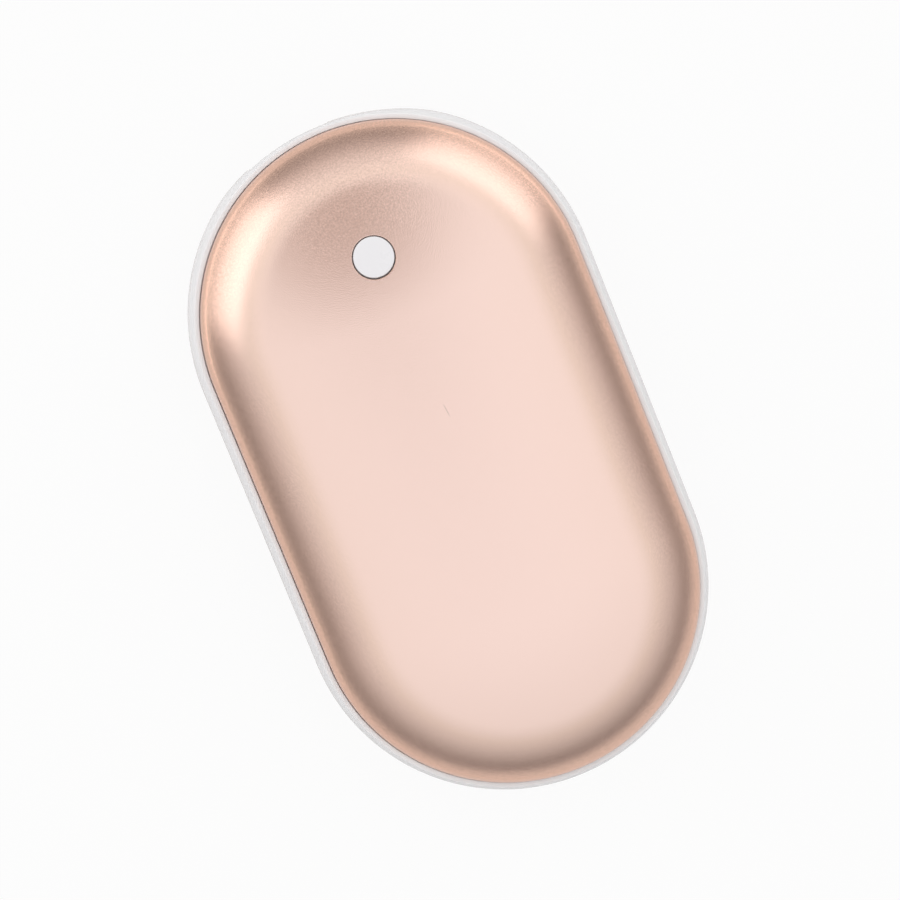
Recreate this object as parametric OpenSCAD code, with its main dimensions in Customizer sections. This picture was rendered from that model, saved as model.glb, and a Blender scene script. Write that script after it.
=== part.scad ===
// Rechargeable hand warmer: two domed aluminium shells on a white band, with a push button,
// a USB-A outlet and a micro-USB charging inlet, two heater films and two 18650 cells.
// It lies on its back shell. X is across it, +Y is the end with the ports and the button, +Z is up.

/* [Casing] */
// Width over the white band
body_w = 62; // [60:0.5:66]
// Length over the white band, from the far end to the port face
body_l = 106.4; // [104:0.2:112]
// Thickness over the two shells
body_t = 27; // [26.5:0.25:29]
// Depth that the port face takes off the round end
port_face_flat = 0.6; // [0.3:0.1:0.8]
// How much larger the port face's radius is than the round end's
port_face_extra = 3.9; // [3:0.1:6]
// Radius of the bulge in the band's side, in section
band_bulge_r = 10.5; // [9.5:0.5:14]
// Radius of the flatter bulge of the port face, in section
port_face_bulge_r = 30; // [26:1:34]
// Height of the band's lip above the shell's seam
band_proud = 0.25; // [0.1:0.05:0.4]
// Thickness of the band's web, from its outline to its inner wall
band_web = 4.1; // [3.8:0.1:4.5]
// Width of the seam between a shell and the band
seam_gap = 0.12; // [0.05:0.01:0.2]

/* [Shells] */
// Distance from the band's outline to a shell's edge, seen from above
seam_inset = 1.9; // [1.8:0.05:2.3]
// Wall of the aluminium shells
shell_wall = 1; // [0.8:0.05:1.2]
// Depth of a shell's rim below the seam
rim_depth = 0.9; // [0.6:0.05:1]
// Radius of a shell's edge, in section
edge_r = 7.5; // [7:0.25:8]
// Radius of a shell's shoulder, in section
shoulder_r = 16; // [14:0.5:18]
// Slope of a shell at the seam, in degrees
edge_slope = 78; // [74:1:82]
// Slope where the edge meets the shoulder, in degrees
shoulder_slope = 38; // [36:1:42]
// Slope where the shoulder meets the crown, in degrees
crown_slope = 9; // [8:0.5:11]
// Depth of the flat that the back shell rests on
rest_flat_depth = 0.15; // [0.1:0.05:0.3]
// Thickness of a glue line
glue_gap = 0.05; // [0.02:0.01:0.1]

/* [Liners] */
// Wall of the plastic liners inside the shells
liner_wall = 1.2; // [1:0.1:1.4]
// Height of a liner above the seam
liner_h = 3; // [2:0.25:3.25]
// Width of a snap hook
hook_w = 5; // [4:0.5:5.5]
// Thickness of a snap hook
hook_t = 1; // [0.8:0.1:1.1]
// How far a hook's barb reaches into the band
hook_barb = 0.45; // [0.3:0.05:0.5]
// Play round a snap hook
hook_play = 0.2; // [0.15:0.05:0.3]

/* [Button] */
// Diameter of the button
button_d = 6; // [5.5:0.1:7]
// Gap between the button and its hole
button_gap = 0.2; // [0.1:0.05:0.3]
// Height of the button over the shell at its centre
button_proud = 0.1; // [0:0.05:0.2]
// Radius of the button's top edge
button_round = 0.3; // [0.1:0.05:0.4]
// Width of the flange that keeps the button in
flange_reach = 1.3; // [1:0.1:1.6]
// Thickness of that flange
flange_t = 0.8; // [0.6:0.1:1]
// Diameter of the button's stem
stem_d = 3; // [2.6:0.1:3.4]
// Radial play of the stem in its guide
stem_play = 0.08; // [0.04:0.01:0.1]
// Wall of the button guide
guide_wall = 1.7; // [1.4:0.1:2]
// Floor of the button guide
guide_floor = 1; // [0.8:0.1:1.3]
// Travel of the button
press_travel = 0.3; // [0.2:0.05:0.35]
// Room left under the pressed button
press_spare = 0.25; // [0.15:0.05:0.4]

/* [Switch] */
// Side of the square tactile switch
switch_side = 6; // [5.6:0.1:6.6]
// Gap between the outlet's contacts and the switch behind them
switch_gap = 0.9; // [0.5:0.1:2]
// Height of the switch body without its cover
switch_body_h = 3.3; // [3.1:0.1:3.8]
// Thickness of the metal cover
switch_cover_t = 0.25; // [0.2:0.05:0.3]
// Height of the switch with its plunger
switch_h = 6; // [5:0.25:8]
// Diameter of the plunger
plunger_d = 3.4; // [3:0.1:3.5]
// Diameter of the snap dome
snap_dome_d = 4.6; // [4.2:0.1:4.8]
// Height of the snap dome
snap_dome_h = 0.7; // [0.6:0.05:0.8]
// Thickness of the snap dome
snap_dome_t = 0.1; // [0.06:0.01:0.12]
// Gap between the stem and the plunger, and under the plunger, at rest
rest_gap = 0.03; // [0.02:0.01:0.05]
// Radial play of the plunger in its cover
plunger_play = 0.08; // [0.04:0.01:0.1]

/* [Circuit board] */
// Thickness of the board
pcb_t = 1.2; // [1:0.1:1.6]
// Gap between the board and the band's inner wall
pcb_gap = 0.5; // [0.3:0.1:0.8]
// Distance from the port face to the back edge of the board
pcb_depth = 27.6; // [27:0.2:28.4]
// Diameter of the boss that a screw goes into
boss_d = 4.6; // [4.2:0.1:5]
// Distance from the band's inner wall to the middle of a boss
boss_in = 4.6; // [4.4:0.1:5]
// Gap between the outlet and the two front bosses
boss_port_gap = 0.95; // [0.5:0.05:1.2]
// Diameter of a screw's shank
screw_d = 1.9; // [1.7:0.1:2]
// Diameter of a screw's head
screw_head_d = 3.6; // [3.2:0.1:3.8]
// Height of a screw's head
screw_head_h = 1.1; // [0.9:0.1:1.3]
// Length of a screw under its head
screw_l = 4.6; // [4:0.2:5]
// Radial play of a screw in the piece that it clamps
screw_play = 0.2; // [0.1:0.05:0.3]

/* [Ports] */
// Outside width of the USB-A shell
usb_a_w = 13.1; // [13:0.1:13.4]
// Outside height of the USB-A shell
usb_a_h = 5.7; // [5.6:0.05:5.8]
// Depth of the USB-A shell
usb_a_depth = 14; // [13.4:0.2:14]
// Middle of the USB-A outlet across the body
usb_a_x = -5.4; // [-5.8:0.1:-5]
// Outside width of the micro-USB shell
micro_w = 7.5; // [7.4:0.05:7.7]
// Outside height of the micro-USB shell
micro_h = 2.65; // [2.5:0.05:2.8]
// Depth of the micro-USB shell
micro_depth = 5.6; // [5:0.2:6]
// Middle of the charging inlet across the body
micro_x = 8.3; // [7.9:0.1:8.5]
// Sheet of the two metal port shells
port_sheet = 0.3; // [0.25:0.05:0.35]
// Depth of the port shells behind the middle of the port face
port_recess = 2.3; // [2:0.1:2.6]
// Gap between a port shell and its opening in the band
port_gap = 0.15; // [0.1:0.05:0.2]

/* [Cells and tray] */
// Diameter of a cell in its sleeve
cell_d = 18.4; // [18.2:0.05:18.6]
// Thickness of the shrink sleeve
sleeve_t = 0.2; // [0.1:0.05:0.25]
// Room behind the cells, from their flat ends to the far end of the band
cell_room = 11.75; // [11.5:0.05:13]
// Gap between the two cells
cell_gap = 0.2; // [0.1:0.05:0.4]
// Play of a cell in the tray
cell_play = 0.1; // [0.05:0.05:0.15]
// Height of a cell's positive cap
cell_cap_h = 1.2; // [1:0.1:1.5]
// Thickness of the nickel strips
strip_t = 0.15; // [0.1:0.05:0.2]
// Width of the nickel strips
strip_w = 6; // [4:0.5:6.5]
// Wall of the tray
tray_wall = 1.2; // [1:0.1:1.4]
// Gap between the tray and the liners' hooks
tray_gap = 0.4; // [0.3:0.1:0.6]
// Gap between the cells' strips and the tray's end walls
tray_end_gap = 0.3; // [0.2:0.05:0.5]
// Thickness of the tray's cross ribs
tray_rib_t = 1.5; // [1.2:0.1:2]

/* [Heaters] */
// Distance from the side of the band to a heater film
heater_from_side = 12; // [11:0.5:15]
// Distance from the port face to a heater film
heater_from_end = 31.2; // [30.4:0.2:34]
// Distance from the far end of the band to a heater film
heater_from_far_end = 17.2; // [15.2:0.2:24]
// Thickness of a heater film
film_t = 0.2; // [0.1:0.05:0.25]
// Thickness of the resistance track
track_t = 0.1; // [0.05:0.01:0.12]
// Width of the resistance track
track_w = 1.2; // [0.8:0.1:1.6]
// Distance from the film's side to the middle of the track's outermost pass
track_from_side = 5.5; // [4.6:0.1:6.5]
// Number of the track's passes, an even number
track_passes = 10; // [6:2:10]
// Thickness of an insulation pad
pad_t = 1.5; // [1:0.1:1.6]
// Distance from a pad's edge to the film's edge
pad_margin = 1; // [0.5:0.5:3]
// Distance from a pad's front edge to the film's, where the leads are soldered
pad_front_margin = 7.5; // [7:0.5:10]
// Diameter of a heater lead
heater_lead_d = 1.2; // [1:0.1:1.3]
// Diameter of a battery lead
battery_lead_d = 1.5; // [1.2:0.1:1.6]
// Diameter of a thermistor lead
sensor_lead_d = 0.6; // [0.5:0.05:0.7]
// Diameter of a thermistor bead
bead_d = 1.8; // [1.6:0.1:2]
// Length of a thermistor bead
bead_l = 3; // [2.6:0.1:3.2]

/* [Hidden] */
$fn = 96;
fine_fn = 720;
reach = 200;
slack = 1;

// Outline: two round ends joined by straight sides
outline_r = body_w / 2;
port_c = body_l / 2 + port_face_flat - outline_r;
far_c = body_l / 2 - outline_r;
port_y = body_l / 2;
port_face_r = outline_r + port_face_extra;
port_face_c = port_y - port_face_r;

// Section of a shell: three arcs, tangent to each other, with the seam at height zero
shell_r = outline_r - seam_inset;
edge_cx = shell_r - edge_r * sin(edge_slope);
edge_cy = -edge_r * cos(edge_slope);
shoulder_cx = edge_cx - (shoulder_r - edge_r) * sin(shoulder_slope);
shoulder_cy = edge_cy - (shoulder_r - edge_r) * cos(shoulder_slope);
crown_r = shoulder_r + shoulder_cx / sin(crown_slope);
crown_cy = shoulder_cy - (crown_r - shoulder_r) * cos(crown_slope);
dome_h = crown_cy + crown_r;
rim_r = edge_cx + edge_r;

// Heights
seam_z = (body_t + rest_flat_depth) / 2 - dome_h;
mid_z = body_t - dome_h - seam_z;
band_top = seam_z + band_proud;
rebate_z = seam_z - rim_depth;

// Band
lip_r = rim_r + seam_gap;
web_r = outline_r - band_web;
notch_h = 1.4;
hook_tip_z = 0.9;
hook_root_h = 1.6;

// Height of a shell's surface over the seam, at distance u from the middle
function crown_end(inset) = (crown_r - inset) * sin(crown_slope);
function shoulder_end(inset) = shoulder_cx + (shoulder_r - inset) * sin(shoulder_slope);
function dome_height(u, inset) =
    u <= crown_end(inset) ? crown_cy + sqrt(pow(crown_r - inset, 2) - u * u)
    : u <= shoulder_end(inset) ? shoulder_cy + sqrt(pow(shoulder_r - inset, 2) - pow(u - shoulder_cx, 2))
    : edge_cy + sqrt(pow(edge_r - inset, 2) - pow(u - edge_cx, 2));
// Distance of a point of the plan from the line or end centre that the outline is drawn from
function spine_distance(x, y) =
    y > port_c ? norm([x, y - port_c]) : y < -far_c ? norm([x, y + far_c]) : abs(x);
function front_z(x, y, inset) = mid_z + seam_z + dome_height(spine_distance(x, y), inset);
function back_z(x, y, inset) = mid_z - seam_z - dome_height(spine_distance(x, y), inset);

// Button and switch, from the shell down to the board
port_front = port_y - port_recess;
usb_a_pin_w = 1;
usb_a_pin_t = 0.25;
usb_a_tail = 0.5;
button_y = port_front - usb_a_depth - usb_a_tail - usb_a_pin_t / 2 - switch_gap - switch_side / 2;
button_top = front_z(0, button_y, 0) + button_proud;
flange_r = button_d / 2 + flange_reach;
flange_top = front_z(0, button_y + flange_r, shell_wall) - glue_gap;
guide_r = flange_r + stem_play + guide_wall;
guide_pocket_z = flange_top - flange_t - press_travel - press_spare;
guide_bottom = guide_pocket_z - guide_floor;
pcb_top = mid_z - usb_a_h / 2;
pcb_bottom = pcb_top - pcb_t;
plunger_top = pcb_top + switch_h;
stem_bottom = plunger_top + rest_gap;
switch_top = pcb_top + switch_body_h + switch_cover_t;
plunger_flange_t = 0.6;
snap_dome_base = pcb_top + switch_body_h - plunger_flange_t - 2 * rest_gap - snap_dome_h - 0.8;
plunger_bottom = snap_dome_base + snap_dome_h + rest_gap;

// Board
pcb_r = web_r - pcb_gap;
pcb_back = port_y - pcb_depth;
tray_front = pcb_back - tray_gap;
boss_top = mid_z + 2;

// Stations round the outline, each [place of the centre that it is drawn from, direction]
boss_c_r = web_r - boss_in;
back_boss_turn = 16;
front_boss_turn = acos((usb_a_w / 2 - usb_a_x + boss_port_gap + boss_d / 2) / boss_c_r);
board_boss_turns = [back_boss_turn, front_boss_turn, 180 - front_boss_turn, 180 - back_boss_turn];
board_boss_stations = [for (turn = board_boss_turns) [port_c, turn]];
boss_behind_tray_front = 10.7;
boss_before_far_turn = 9.2;
tray_boss_y = tray_front - boss_behind_tray_front;
tray_boss_far_y = boss_before_far_turn - far_c;
tray_boss_stations = concat(
    [for (y = [tray_boss_y, tray_boss_far_y], side = [0, 180]) [y, side]],
    [[-far_c, -90]]
);
hook_behind_tray_front = 3.7;
hook_before_far_turn = 1.7;
far_hook_turn = 15;
hook_y = [
    tray_front - hook_behind_tray_front,
    (tray_boss_y + tray_boss_far_y) / 2,
    hook_before_far_turn - far_c
];
hook_stations = concat(
    [for (y = hook_y, side = [0, 180]) [y, side]],
    [for (turn = [-far_hook_turn, far_hook_turn]) [-far_c, turn - 90]]
);

// Cells
cell_x = (cell_d + cell_gap) / 2;
cell_front = tray_front - tray_wall - tray_end_gap - strip_t;
cell_back = cell_room - body_l / 2;
can_d = cell_d - 2 * sleeve_t;
can_front = cell_front - cell_cap_h;
cap_d = 6;
cap_seat_r = 4.2;
cap_seat_t = 0.2;
insulator_t = 0.3;
tray_back = cell_back - strip_t - tray_end_gap;
tray_r = web_r - hook_play - hook_t - tray_gap;
plate_top = mid_z - 3.4;
plate_bottom = plate_top - tray_wall;
tab_z = mid_z + 5.9;
tab_top = tab_z + 0.7;
rib_bottom = mid_z - 8;
rib_top = mid_z + 3;
rib_behind_boss = 5.5;
rib_before_far_boss = 4.5;
rib_before_tray_back = 8.9;
tray_rib_y = [
    tray_boss_y - rib_behind_boss,
    tray_boss_far_y + rib_before_far_boss,
    tray_back + rib_before_tray_back
];
tray_rib_r = tray_r - 2.8;

// Heaters, in layers from a shell's inner face
film_inset = shell_wall + glue_gap;
track_inset = film_inset + film_t;
pad_inset = track_inset + track_t + glue_gap;
heater_front = port_y - heater_from_end;
heater_back = heater_from_far_end - port_y;
heater_w = body_w - 2 * heater_from_side;
heater_l = heater_front - heater_back;
heater_round = 7;

// Port sections and details
usb_a_round = 0.6;
usb_a_block = 4.6;
usb_a_tongue_w = 11.1;
usb_a_tongue_t = 1.9;
usb_a_tongue_l = 8.8;
usb_a_pin_pitch = 2.3;
usb_a_tongue_z = mid_z + 0.75;
usb_a_pin_z = usb_a_tongue_z - usb_a_tongue_t / 2 - usb_a_pin_t / 2;
usb_a_tail_y = port_front - usb_a_depth - usb_a_tail;
usb_a_pin_end = port_front - usb_a_depth + usb_a_block + usb_a_tongue_l - 0.8;
micro_z = pcb_top + micro_h / 2;
micro_chamfer = 0.9;
micro_block = 1.6;
micro_tongue_w = 3.8;
micro_tongue_t = 0.6;
micro_pin_pitch = 0.65;
micro_tail = 0.9;
micro_tail_y = port_front - micro_depth - micro_tail;
leg_w = 1.2;
leg_l = 1.9;
leg_play = 0.15;
pin_below = 0.6;
pin_play = 0.1;

// The legs of the two port shells, as [x, y] on the board
usb_a_leg_in = [6.5, 11.5];
usb_a_legs = [
    for (side = [-1, 1], y = usb_a_leg_in) [usb_a_x + side * (usb_a_w - port_sheet) / 2, port_front - y]
];
micro_leg_y = port_front - micro_depth + leg_w / 2;
micro_legs = [for (side = [-1, 1]) [micro_x + side * (micro_w - port_sheet) / 2, micro_leg_y]];

// The switch's four pins, from its middle
pin_y = 2.25;
pin_t = 0.3;
pin_x = switch_side / 2 + pin_t / 2;
pin_w = 0.7;
pin_above = 1;

// Parts on the board, placed from its back edge, its bosses, the ports and the switch
boss_side = boss_c_r * cos(back_boss_turn) - boss_d / 2;
chip_side_gap = 0.5;
outline_chip_w = 3.9;
outline_chip_h = 1.5;
outline_chip_pitch = 1.27;
outline_chip_reach = 1;
control_chip_l = 8.7;
control_chip_x = chip_side_gap + outline_chip_w / 2 + outline_chip_reach - boss_side;
front_boss_y = port_c + boss_c_r * sin(front_boss_turn);
control_chip_y = front_boss_y - boss_d / 2 - chip_side_gap - control_chip_l / 2;
charge_chip_l = 4.9;
charge_chip_x = -7;
charge_chip_y = pcb_back + 7;
resistors_before_tails = 1.2;
mosfet_l = 2.9;
mosfet_w = 1.4;
mosfet_h = 1.1;
mosfet_leg = 0.65;
mosfet_gap = 0.45;
mosfet_y = micro_tail_y - mosfet_gap - mosfet_w / 2 - mosfet_leg;
mosfet_pitch = 3.8;
led_w = 0.8;
led_l = 1.4;
led_gap = 1;
led_pitch = 2.2;
led_x = switch_side / 2 + led_gap + led_w / 2;
inductor_w = 6.8;
inductor_gap = 0.1;
inductor_x = led_x + led_w / 2 + 2 * inductor_gap + inductor_w / 2;
inductor_y = mosfet_y - mosfet_w / 2 - mosfet_leg - inductor_gap - inductor_w / 2;

// Socket and leads
socket_w = 10;
socket_d = 4.2;
socket_h = 4.2;
socket_wall = 0.8;
socket_pitch = 2;
socket_x = boss_side - chip_side_gap - socket_w / 2;
socket_y = pcb_back + 4.6;
plug_h = 5.6;
plug_gap = 0.1;
way_depth = 1;
lead_sides = 8;
lead_steps = 4;

// Basic shapes

module rounded_rect(w, l, r) {
    square([w - 2 * r, l], center = true);
    square([w, l - 2 * r], center = true);
    for (x = [-1, 1], y = [-1, 1]) {
        translate([x * (w / 2 - r), y * (l / 2 - r)]) circle(r);
    }
}

module box(x, y, z) {
    translate([x[0], y[0], z[0]]) cube([x[1] - x[0], y[1] - y[0], z[1] - z[0]]);
}

module both_sides() {
    children();
    mirror([1, 0]) children();
}

module right_half() {
    intersection() {
        children();
        translate([0, -reach / 2]) square([reach, reach]);
    }
}

// Carries a section drawn across the body right round the outline
module along_outline() {
    translate([0, port_c, 0]) rotate_extrude(angle = 180) right_half() children();
    translate([0, -far_c, 0]) rotate([0, 0, 180]) rotate_extrude(angle = 180) right_half() children();
    translate([0, port_c, 0]) rotate([90, 0, 0]) linear_extrude(port_c + far_c) children();
}

// The area under a shell's surface, shrunk inwards by inset, down to bottom
module dome_section(inset, bottom) {
    intersection() {
        translate([0, crown_cy]) circle(crown_r - inset, $fn = fine_fn);
        translate([-crown_end(inset), bottom]) square([2 * crown_end(inset), reach]);
    }
    both_sides() {
        intersection() {
            translate([shoulder_cx, shoulder_cy]) circle(shoulder_r - inset, $fn = fine_fn / 3);
            translate([0, bottom]) square([shoulder_end(inset), reach]);
        }
        intersection() {
            translate([edge_cx, edge_cy]) circle(edge_r - inset, $fn = fine_fn / 3);
            translate([0, max(bottom, edge_cy)]) square([reach, reach]);
        }
        if (bottom < edge_cy) {
            translate([0, bottom]) square([edge_cx + edge_r - inset, edge_cy - bottom]);
        }
    }
}

module at_front_seam() {
    translate([0, 0, mid_z + seam_z]) children();
}

module at_back_seam() {
    translate([0, 0, mid_z - seam_z]) mirror([0, 0, 1]) children();
}

module domed_layer(outer_inset, inner_inset, bottom) {
    along_outline() difference() {
        dome_section(outer_inset, bottom);
        dome_section(inner_inset, bottom - slack);
    }
}

// Places what is drawn along +X at one of the stations round the outline
module at_station(station) {
    translate([0, station[0], 0]) rotate([0, 0, station[1]]) children();
}

// A tube along a smooth route through the points, for a lead
function route_at(p, i, t) =
    let (
        a = p[max(i - 1, 0)],
        b = p[i],
        c = p[i + 1],
        d = p[min(i + 2, len(p) - 1)]
    )
    0.5 * (2 * b + t * (c - a) + t * t * (2 * a - 5 * b + 4 * c - d) + t * t * t * (3 * b - a - 3 * c + d));
function route(p) = concat(
    [for (i = [0 : len(p) - 2], k = [0 : lead_steps - 1]) route_at(p, i, k / lead_steps)],
    [p[len(p) - 1]]
);
function unit(v) = v / norm(v);
function heading(r, i) =
    i == 0 ? unit(r[1] - r[0])
    : i == len(r) - 1 ? unit(r[i] - r[i - 1])
    : unit(r[i + 1] - r[i - 1]);

module lead(points, d, level) {
    r = route(points);
    rings = [
        for (i = [0 : len(r) - 1])
            let (
                ahead = heading(r, i),
                side = unit(cross(ahead, level)),
                over = cross(side, ahead)
            )
            [for (k = [0 : lead_sides - 1])
                r[i] + d / 2 * (cos(360 * k / lead_sides) * side + sin(360 * k / lead_sides) * over)]
    ];
    last = (len(r) - 1) * lead_sides;
    polyhedron(
        points = [for (ring = rings, q = ring) q],
        faces = concat(
            [[for (k = [0 : lead_sides - 1]) k]],
            [[for (k = [0 : lead_sides - 1]) last + lead_sides - 1 - k]],
            [for (i = [0 : len(r) - 2], k = [0 : lead_sides - 1])
                [
                    i * lead_sides + k,
                    (i + 1) * lead_sides + k,
                    (i + 1) * lead_sides + (k + 1) % lead_sides,
                    i * lead_sides + (k + 1) % lead_sides
                ]]
        )
    );
}

// Casing

module front_shell() {
    color("#E9C3AE") difference() {
        at_front_seam() domed_layer(0, shell_wall, -rim_depth);
        translate([0, button_y, mid_z + seam_z]) cylinder(h = dome_h + slack, d = button_d + 2 * button_gap);
    }
}

module back_shell() {
    color("#E9C3AE") intersection() {
        at_back_seam() domed_layer(0, shell_wall, -rim_depth);
        box([-reach / 2, reach / 2], [-reach / 2, reach / 2], [0, body_t]);
    }
}

module band_section() {
    both_sides() difference() {
        intersection() {
            translate([outline_r - band_bulge_r, 0]) circle(band_bulge_r, $fn = fine_fn / 3);
            translate([web_r, -band_top]) square([band_web + slack, 2 * band_top]);
        }
        for (side = [0, 1]) {
            mirror([0, side]) translate([web_r - slack, rebate_z]) square([lip_r - web_r + slack, reach]);
        }
    }
}

// What the shallow port face takes off the band
module port_face_cut() {
    difference() {
        box([-reach / 2, reach / 2], [port_c, port_y + slack], [-band_top - slack, band_top + slack]);
        translate([0, port_face_c, 0]) rotate_extrude() right_half() {
            intersection() {
                translate([port_face_r - port_face_bulge_r, 0]) circle(port_face_bulge_r, $fn = fine_fn);
                translate([0, -band_top - 2 * slack]) square([port_face_r + slack, 2 * band_top + 4 * slack]);
            }
            translate([0, -band_top - 2 * slack])
                square([port_face_r - port_face_bulge_r, 2 * band_top + 4 * slack]);
        }
    }
}

module screw_boss(from_wall, bottom) {
    at_centre = web_r - from_wall;
    translate([at_centre, 0, bottom]) cylinder(h = boss_top - bottom, d = boss_d);
    box([at_centre, web_r + slack / 2], [-slack, slack], [max(bottom, mid_z - rebate_z), boss_top]);
}

module screw_pilot(from_wall, bottom) {
    pilot_h = screw_l - tray_wall + 0.4;
    translate([web_r - from_wall, 0, bottom - slack]) cylinder(h = slack + pilot_h, d = screw_d);
}

module hook_notch() {
    half_w = hook_w / 2 + hook_play;
    box([web_r - slack, web_r + hook_barb + hook_play], [-half_w, half_w],
        [mid_z + hook_tip_z - hook_play, mid_z + hook_tip_z + notch_h]);
}

module middle_frame() {
    color("#F1F0F2") difference() {
        union() {
            translate([0, 0, mid_z]) difference() {
                along_outline() band_section();
                port_face_cut();
            }
            for (s = board_boss_stations) {
                at_station(s) screw_boss(boss_in, pcb_top);
            }
            for (s = tray_boss_stations) {
                at_station(s) screw_boss(boss_in, plate_top);
            }
        }
        for (s = board_boss_stations) {
            at_station(s) screw_pilot(boss_in, pcb_top);
        }
        for (s = tray_boss_stations) {
            at_station(s) screw_pilot(boss_in, plate_top);
        }
        for (s = hook_stations) {
            at_station(s) hook_notch();
            at_station(s) translate([0, 0, 2 * mid_z]) mirror([0, 0, 1]) hook_notch();
        }
        translate([usb_a_x, port_y - band_web - reach / 8, mid_z]) rotate([-90, 0, 0])
            linear_extrude(reach / 4)
            rounded_rect(usb_a_w + 2 * port_gap, usb_a_h + 2 * port_gap, usb_a_round + port_gap);
        translate([micro_x, port_y + reach / 8, micro_z]) rotate([90, 0, 0])
            linear_extrude(reach / 4)
            micro_outline(micro_w + 2 * port_gap, micro_h + 2 * port_gap, micro_chamfer);
    }
}

// A hook that hangs from the front liner, its barb pointing out into the band
module snap_hook() {
    outer = web_r - hook_play;
    inner = outer - hook_t;
    rotate([90, 0, 0]) translate([0, 0, -hook_w / 2]) linear_extrude(hook_w) polygon([
        [inner, mid_z + hook_tip_z],
        [outer, mid_z + hook_tip_z],
        [web_r + hook_barb, mid_z + hook_tip_z + 0.5],
        [web_r + hook_barb, mid_z + hook_tip_z + notch_h - hook_play],
        [outer, mid_z + hook_tip_z + notch_h - hook_play],
        [outer, mid_z + rebate_z],
        [web_r + hook_barb, mid_z + rebate_z],
        [web_r, mid_z + rebate_z + hook_root_h],
        [inner, mid_z + rebate_z + hook_root_h]
    ]);
}

module liner() {
    intersection() {
        at_front_seam() domed_layer(shell_wall + glue_gap, shell_wall + glue_gap + liner_wall, -rim_depth);
        box([-reach / 2, reach / 2], [-reach / 2, reach / 2], [0, mid_z + seam_z + liner_h]);
    }
    for (s = hook_stations) {
        at_station(s) snap_hook();
    }
}

module front_liner() {
    color("#D9D7D3") liner();
}

module back_liner() {
    color("#D9D7D3") translate([0, 0, 2 * mid_z]) mirror([0, 0, 1]) liner();
}

// Button

module button_cap() {
    color("#F4F3F5") translate([0, button_y, 0]) rotate_extrude() {
        translate([0, flange_top - flange_t])
            square([button_d / 2, button_top - button_round - flange_top + flange_t]);
        translate([0, button_top - 2 * button_round]) square([button_d / 2 - button_round, 2 * button_round]);
        translate([button_d / 2 - button_round, button_top - button_round]) circle(button_round);
        translate([0, flange_top - flange_t]) square([flange_r, flange_t]);
        translate([0, stem_bottom]) square([stem_d / 2, flange_top - stem_bottom]);
    }
}

module button_guide() {
    color("#CFCDCA") intersection() {
        translate([0, button_y, 0]) difference() {
            translate([0, 0, guide_bottom]) cylinder(h = body_t - guide_bottom, r = guide_r);
            translate([0, 0, guide_pocket_z]) cylinder(h = body_t, r = flange_r + stem_play);
            translate([0, 0, guide_bottom - slack])
                cylinder(h = guide_floor + 2 * slack, d = stem_d + 2 * stem_play);
        }
        at_front_seam() along_outline() dome_section(shell_wall + glue_gap, 0);
    }
}

module switch_body() {
    half = switch_side / 2;
    color("#2B2B2D") translate([0, button_y, 0]) difference() {
        box([-half, half], [-half, half], [pcb_top, pcb_top + switch_body_h]);
        translate([0, 0, snap_dome_base]) cylinder(h = switch_body_h, d = snap_dome_d + 4 * plunger_play);
    }
}

module switch_cover() {
    half = switch_side / 2;
    color("#C9CBCE") translate([0, button_y, 0]) difference() {
        box([-half, half], [-half, half], [pcb_top + switch_body_h, switch_top]);
        translate([0, 0, pcb_top]) cylinder(h = switch_h, d = plunger_d + 2 * plunger_play);
    }
}

module switch_plunger() {
    color("#1E1E20") translate([0, button_y, 0]) {
        translate([0, 0, plunger_bottom]) cylinder(h = plunger_top - plunger_bottom, d = plunger_d);
        translate([0, 0, pcb_top + switch_body_h - rest_gap - plunger_flange_t])
            cylinder(h = plunger_flange_t, d = snap_dome_d);
    }
}

// The spherical snap dome under the plunger
module switch_dome() {
    ball_r = (pow(snap_dome_d / 2, 2) + pow(snap_dome_h, 2)) / (2 * snap_dome_h);
    color("#D6D8DA") translate([0, button_y, snap_dome_base]) rotate_extrude() intersection() {
        difference() {
            translate([0, snap_dome_h - ball_r]) circle(ball_r);
            translate([0, snap_dome_h - ball_r]) circle(ball_r - snap_dome_t);
        }
        square([snap_dome_d, snap_dome_d]);
    }
}

module switch_pins() {
    color("#C9CBCE") translate([0, button_y, 0]) for (sx = [-1, 1], sy = [-1, 1]) {
        translate([sx * pin_x, sy * pin_y, 0]) {
            box([-pin_t / 2, pin_t / 2], [-pin_w / 2, pin_w / 2],
                [pcb_bottom - pin_below, pcb_top + pin_above]);
        }
    }
}

// Board

module main_board() {
    color("#2E6B45") difference() {
        intersection() {
            translate([0, port_c, pcb_bottom]) cylinder(h = pcb_t, r = pcb_r);
            box([-reach / 2, reach / 2], [pcb_back, reach], [0, body_t]);
        }
        for (s = board_boss_stations) {
            at_station(s) translate([boss_c_r, 0, pcb_bottom - slack])
                cylinder(h = pcb_t + 2 * slack, d = screw_d + 2 * screw_play);
        }
        for (p = concat(usb_a_legs, micro_legs)) {
            translate([p[0], p[1], pcb_bottom]) {
                box([-port_sheet / 2 - leg_play, port_sheet / 2 + leg_play],
                    [-leg_w / 2 - leg_play, leg_w / 2 + leg_play], [-slack, pcb_t + slack]);
            }
        }
        for (sx = [-1, 1], sy = [-1, 1]) {
            translate([sx * pin_x, button_y + sy * pin_y, pcb_bottom]) {
                box([-pin_t / 2 - pin_play, pin_t / 2 + pin_play],
                    [-pin_w / 2 - pin_play, pin_w / 2 + pin_play], [-slack, pcb_t + slack]);
            }
        }
        for (i = [-1.5 : 1.5]) {
            translate([usb_a_x + i * usb_a_pin_pitch, usb_a_tail_y, pcb_bottom - slack])
                cylinder(h = pcb_t + 2 * slack, d = usb_a_pin_w + 2 * pin_play);
        }
    }
}

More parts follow.
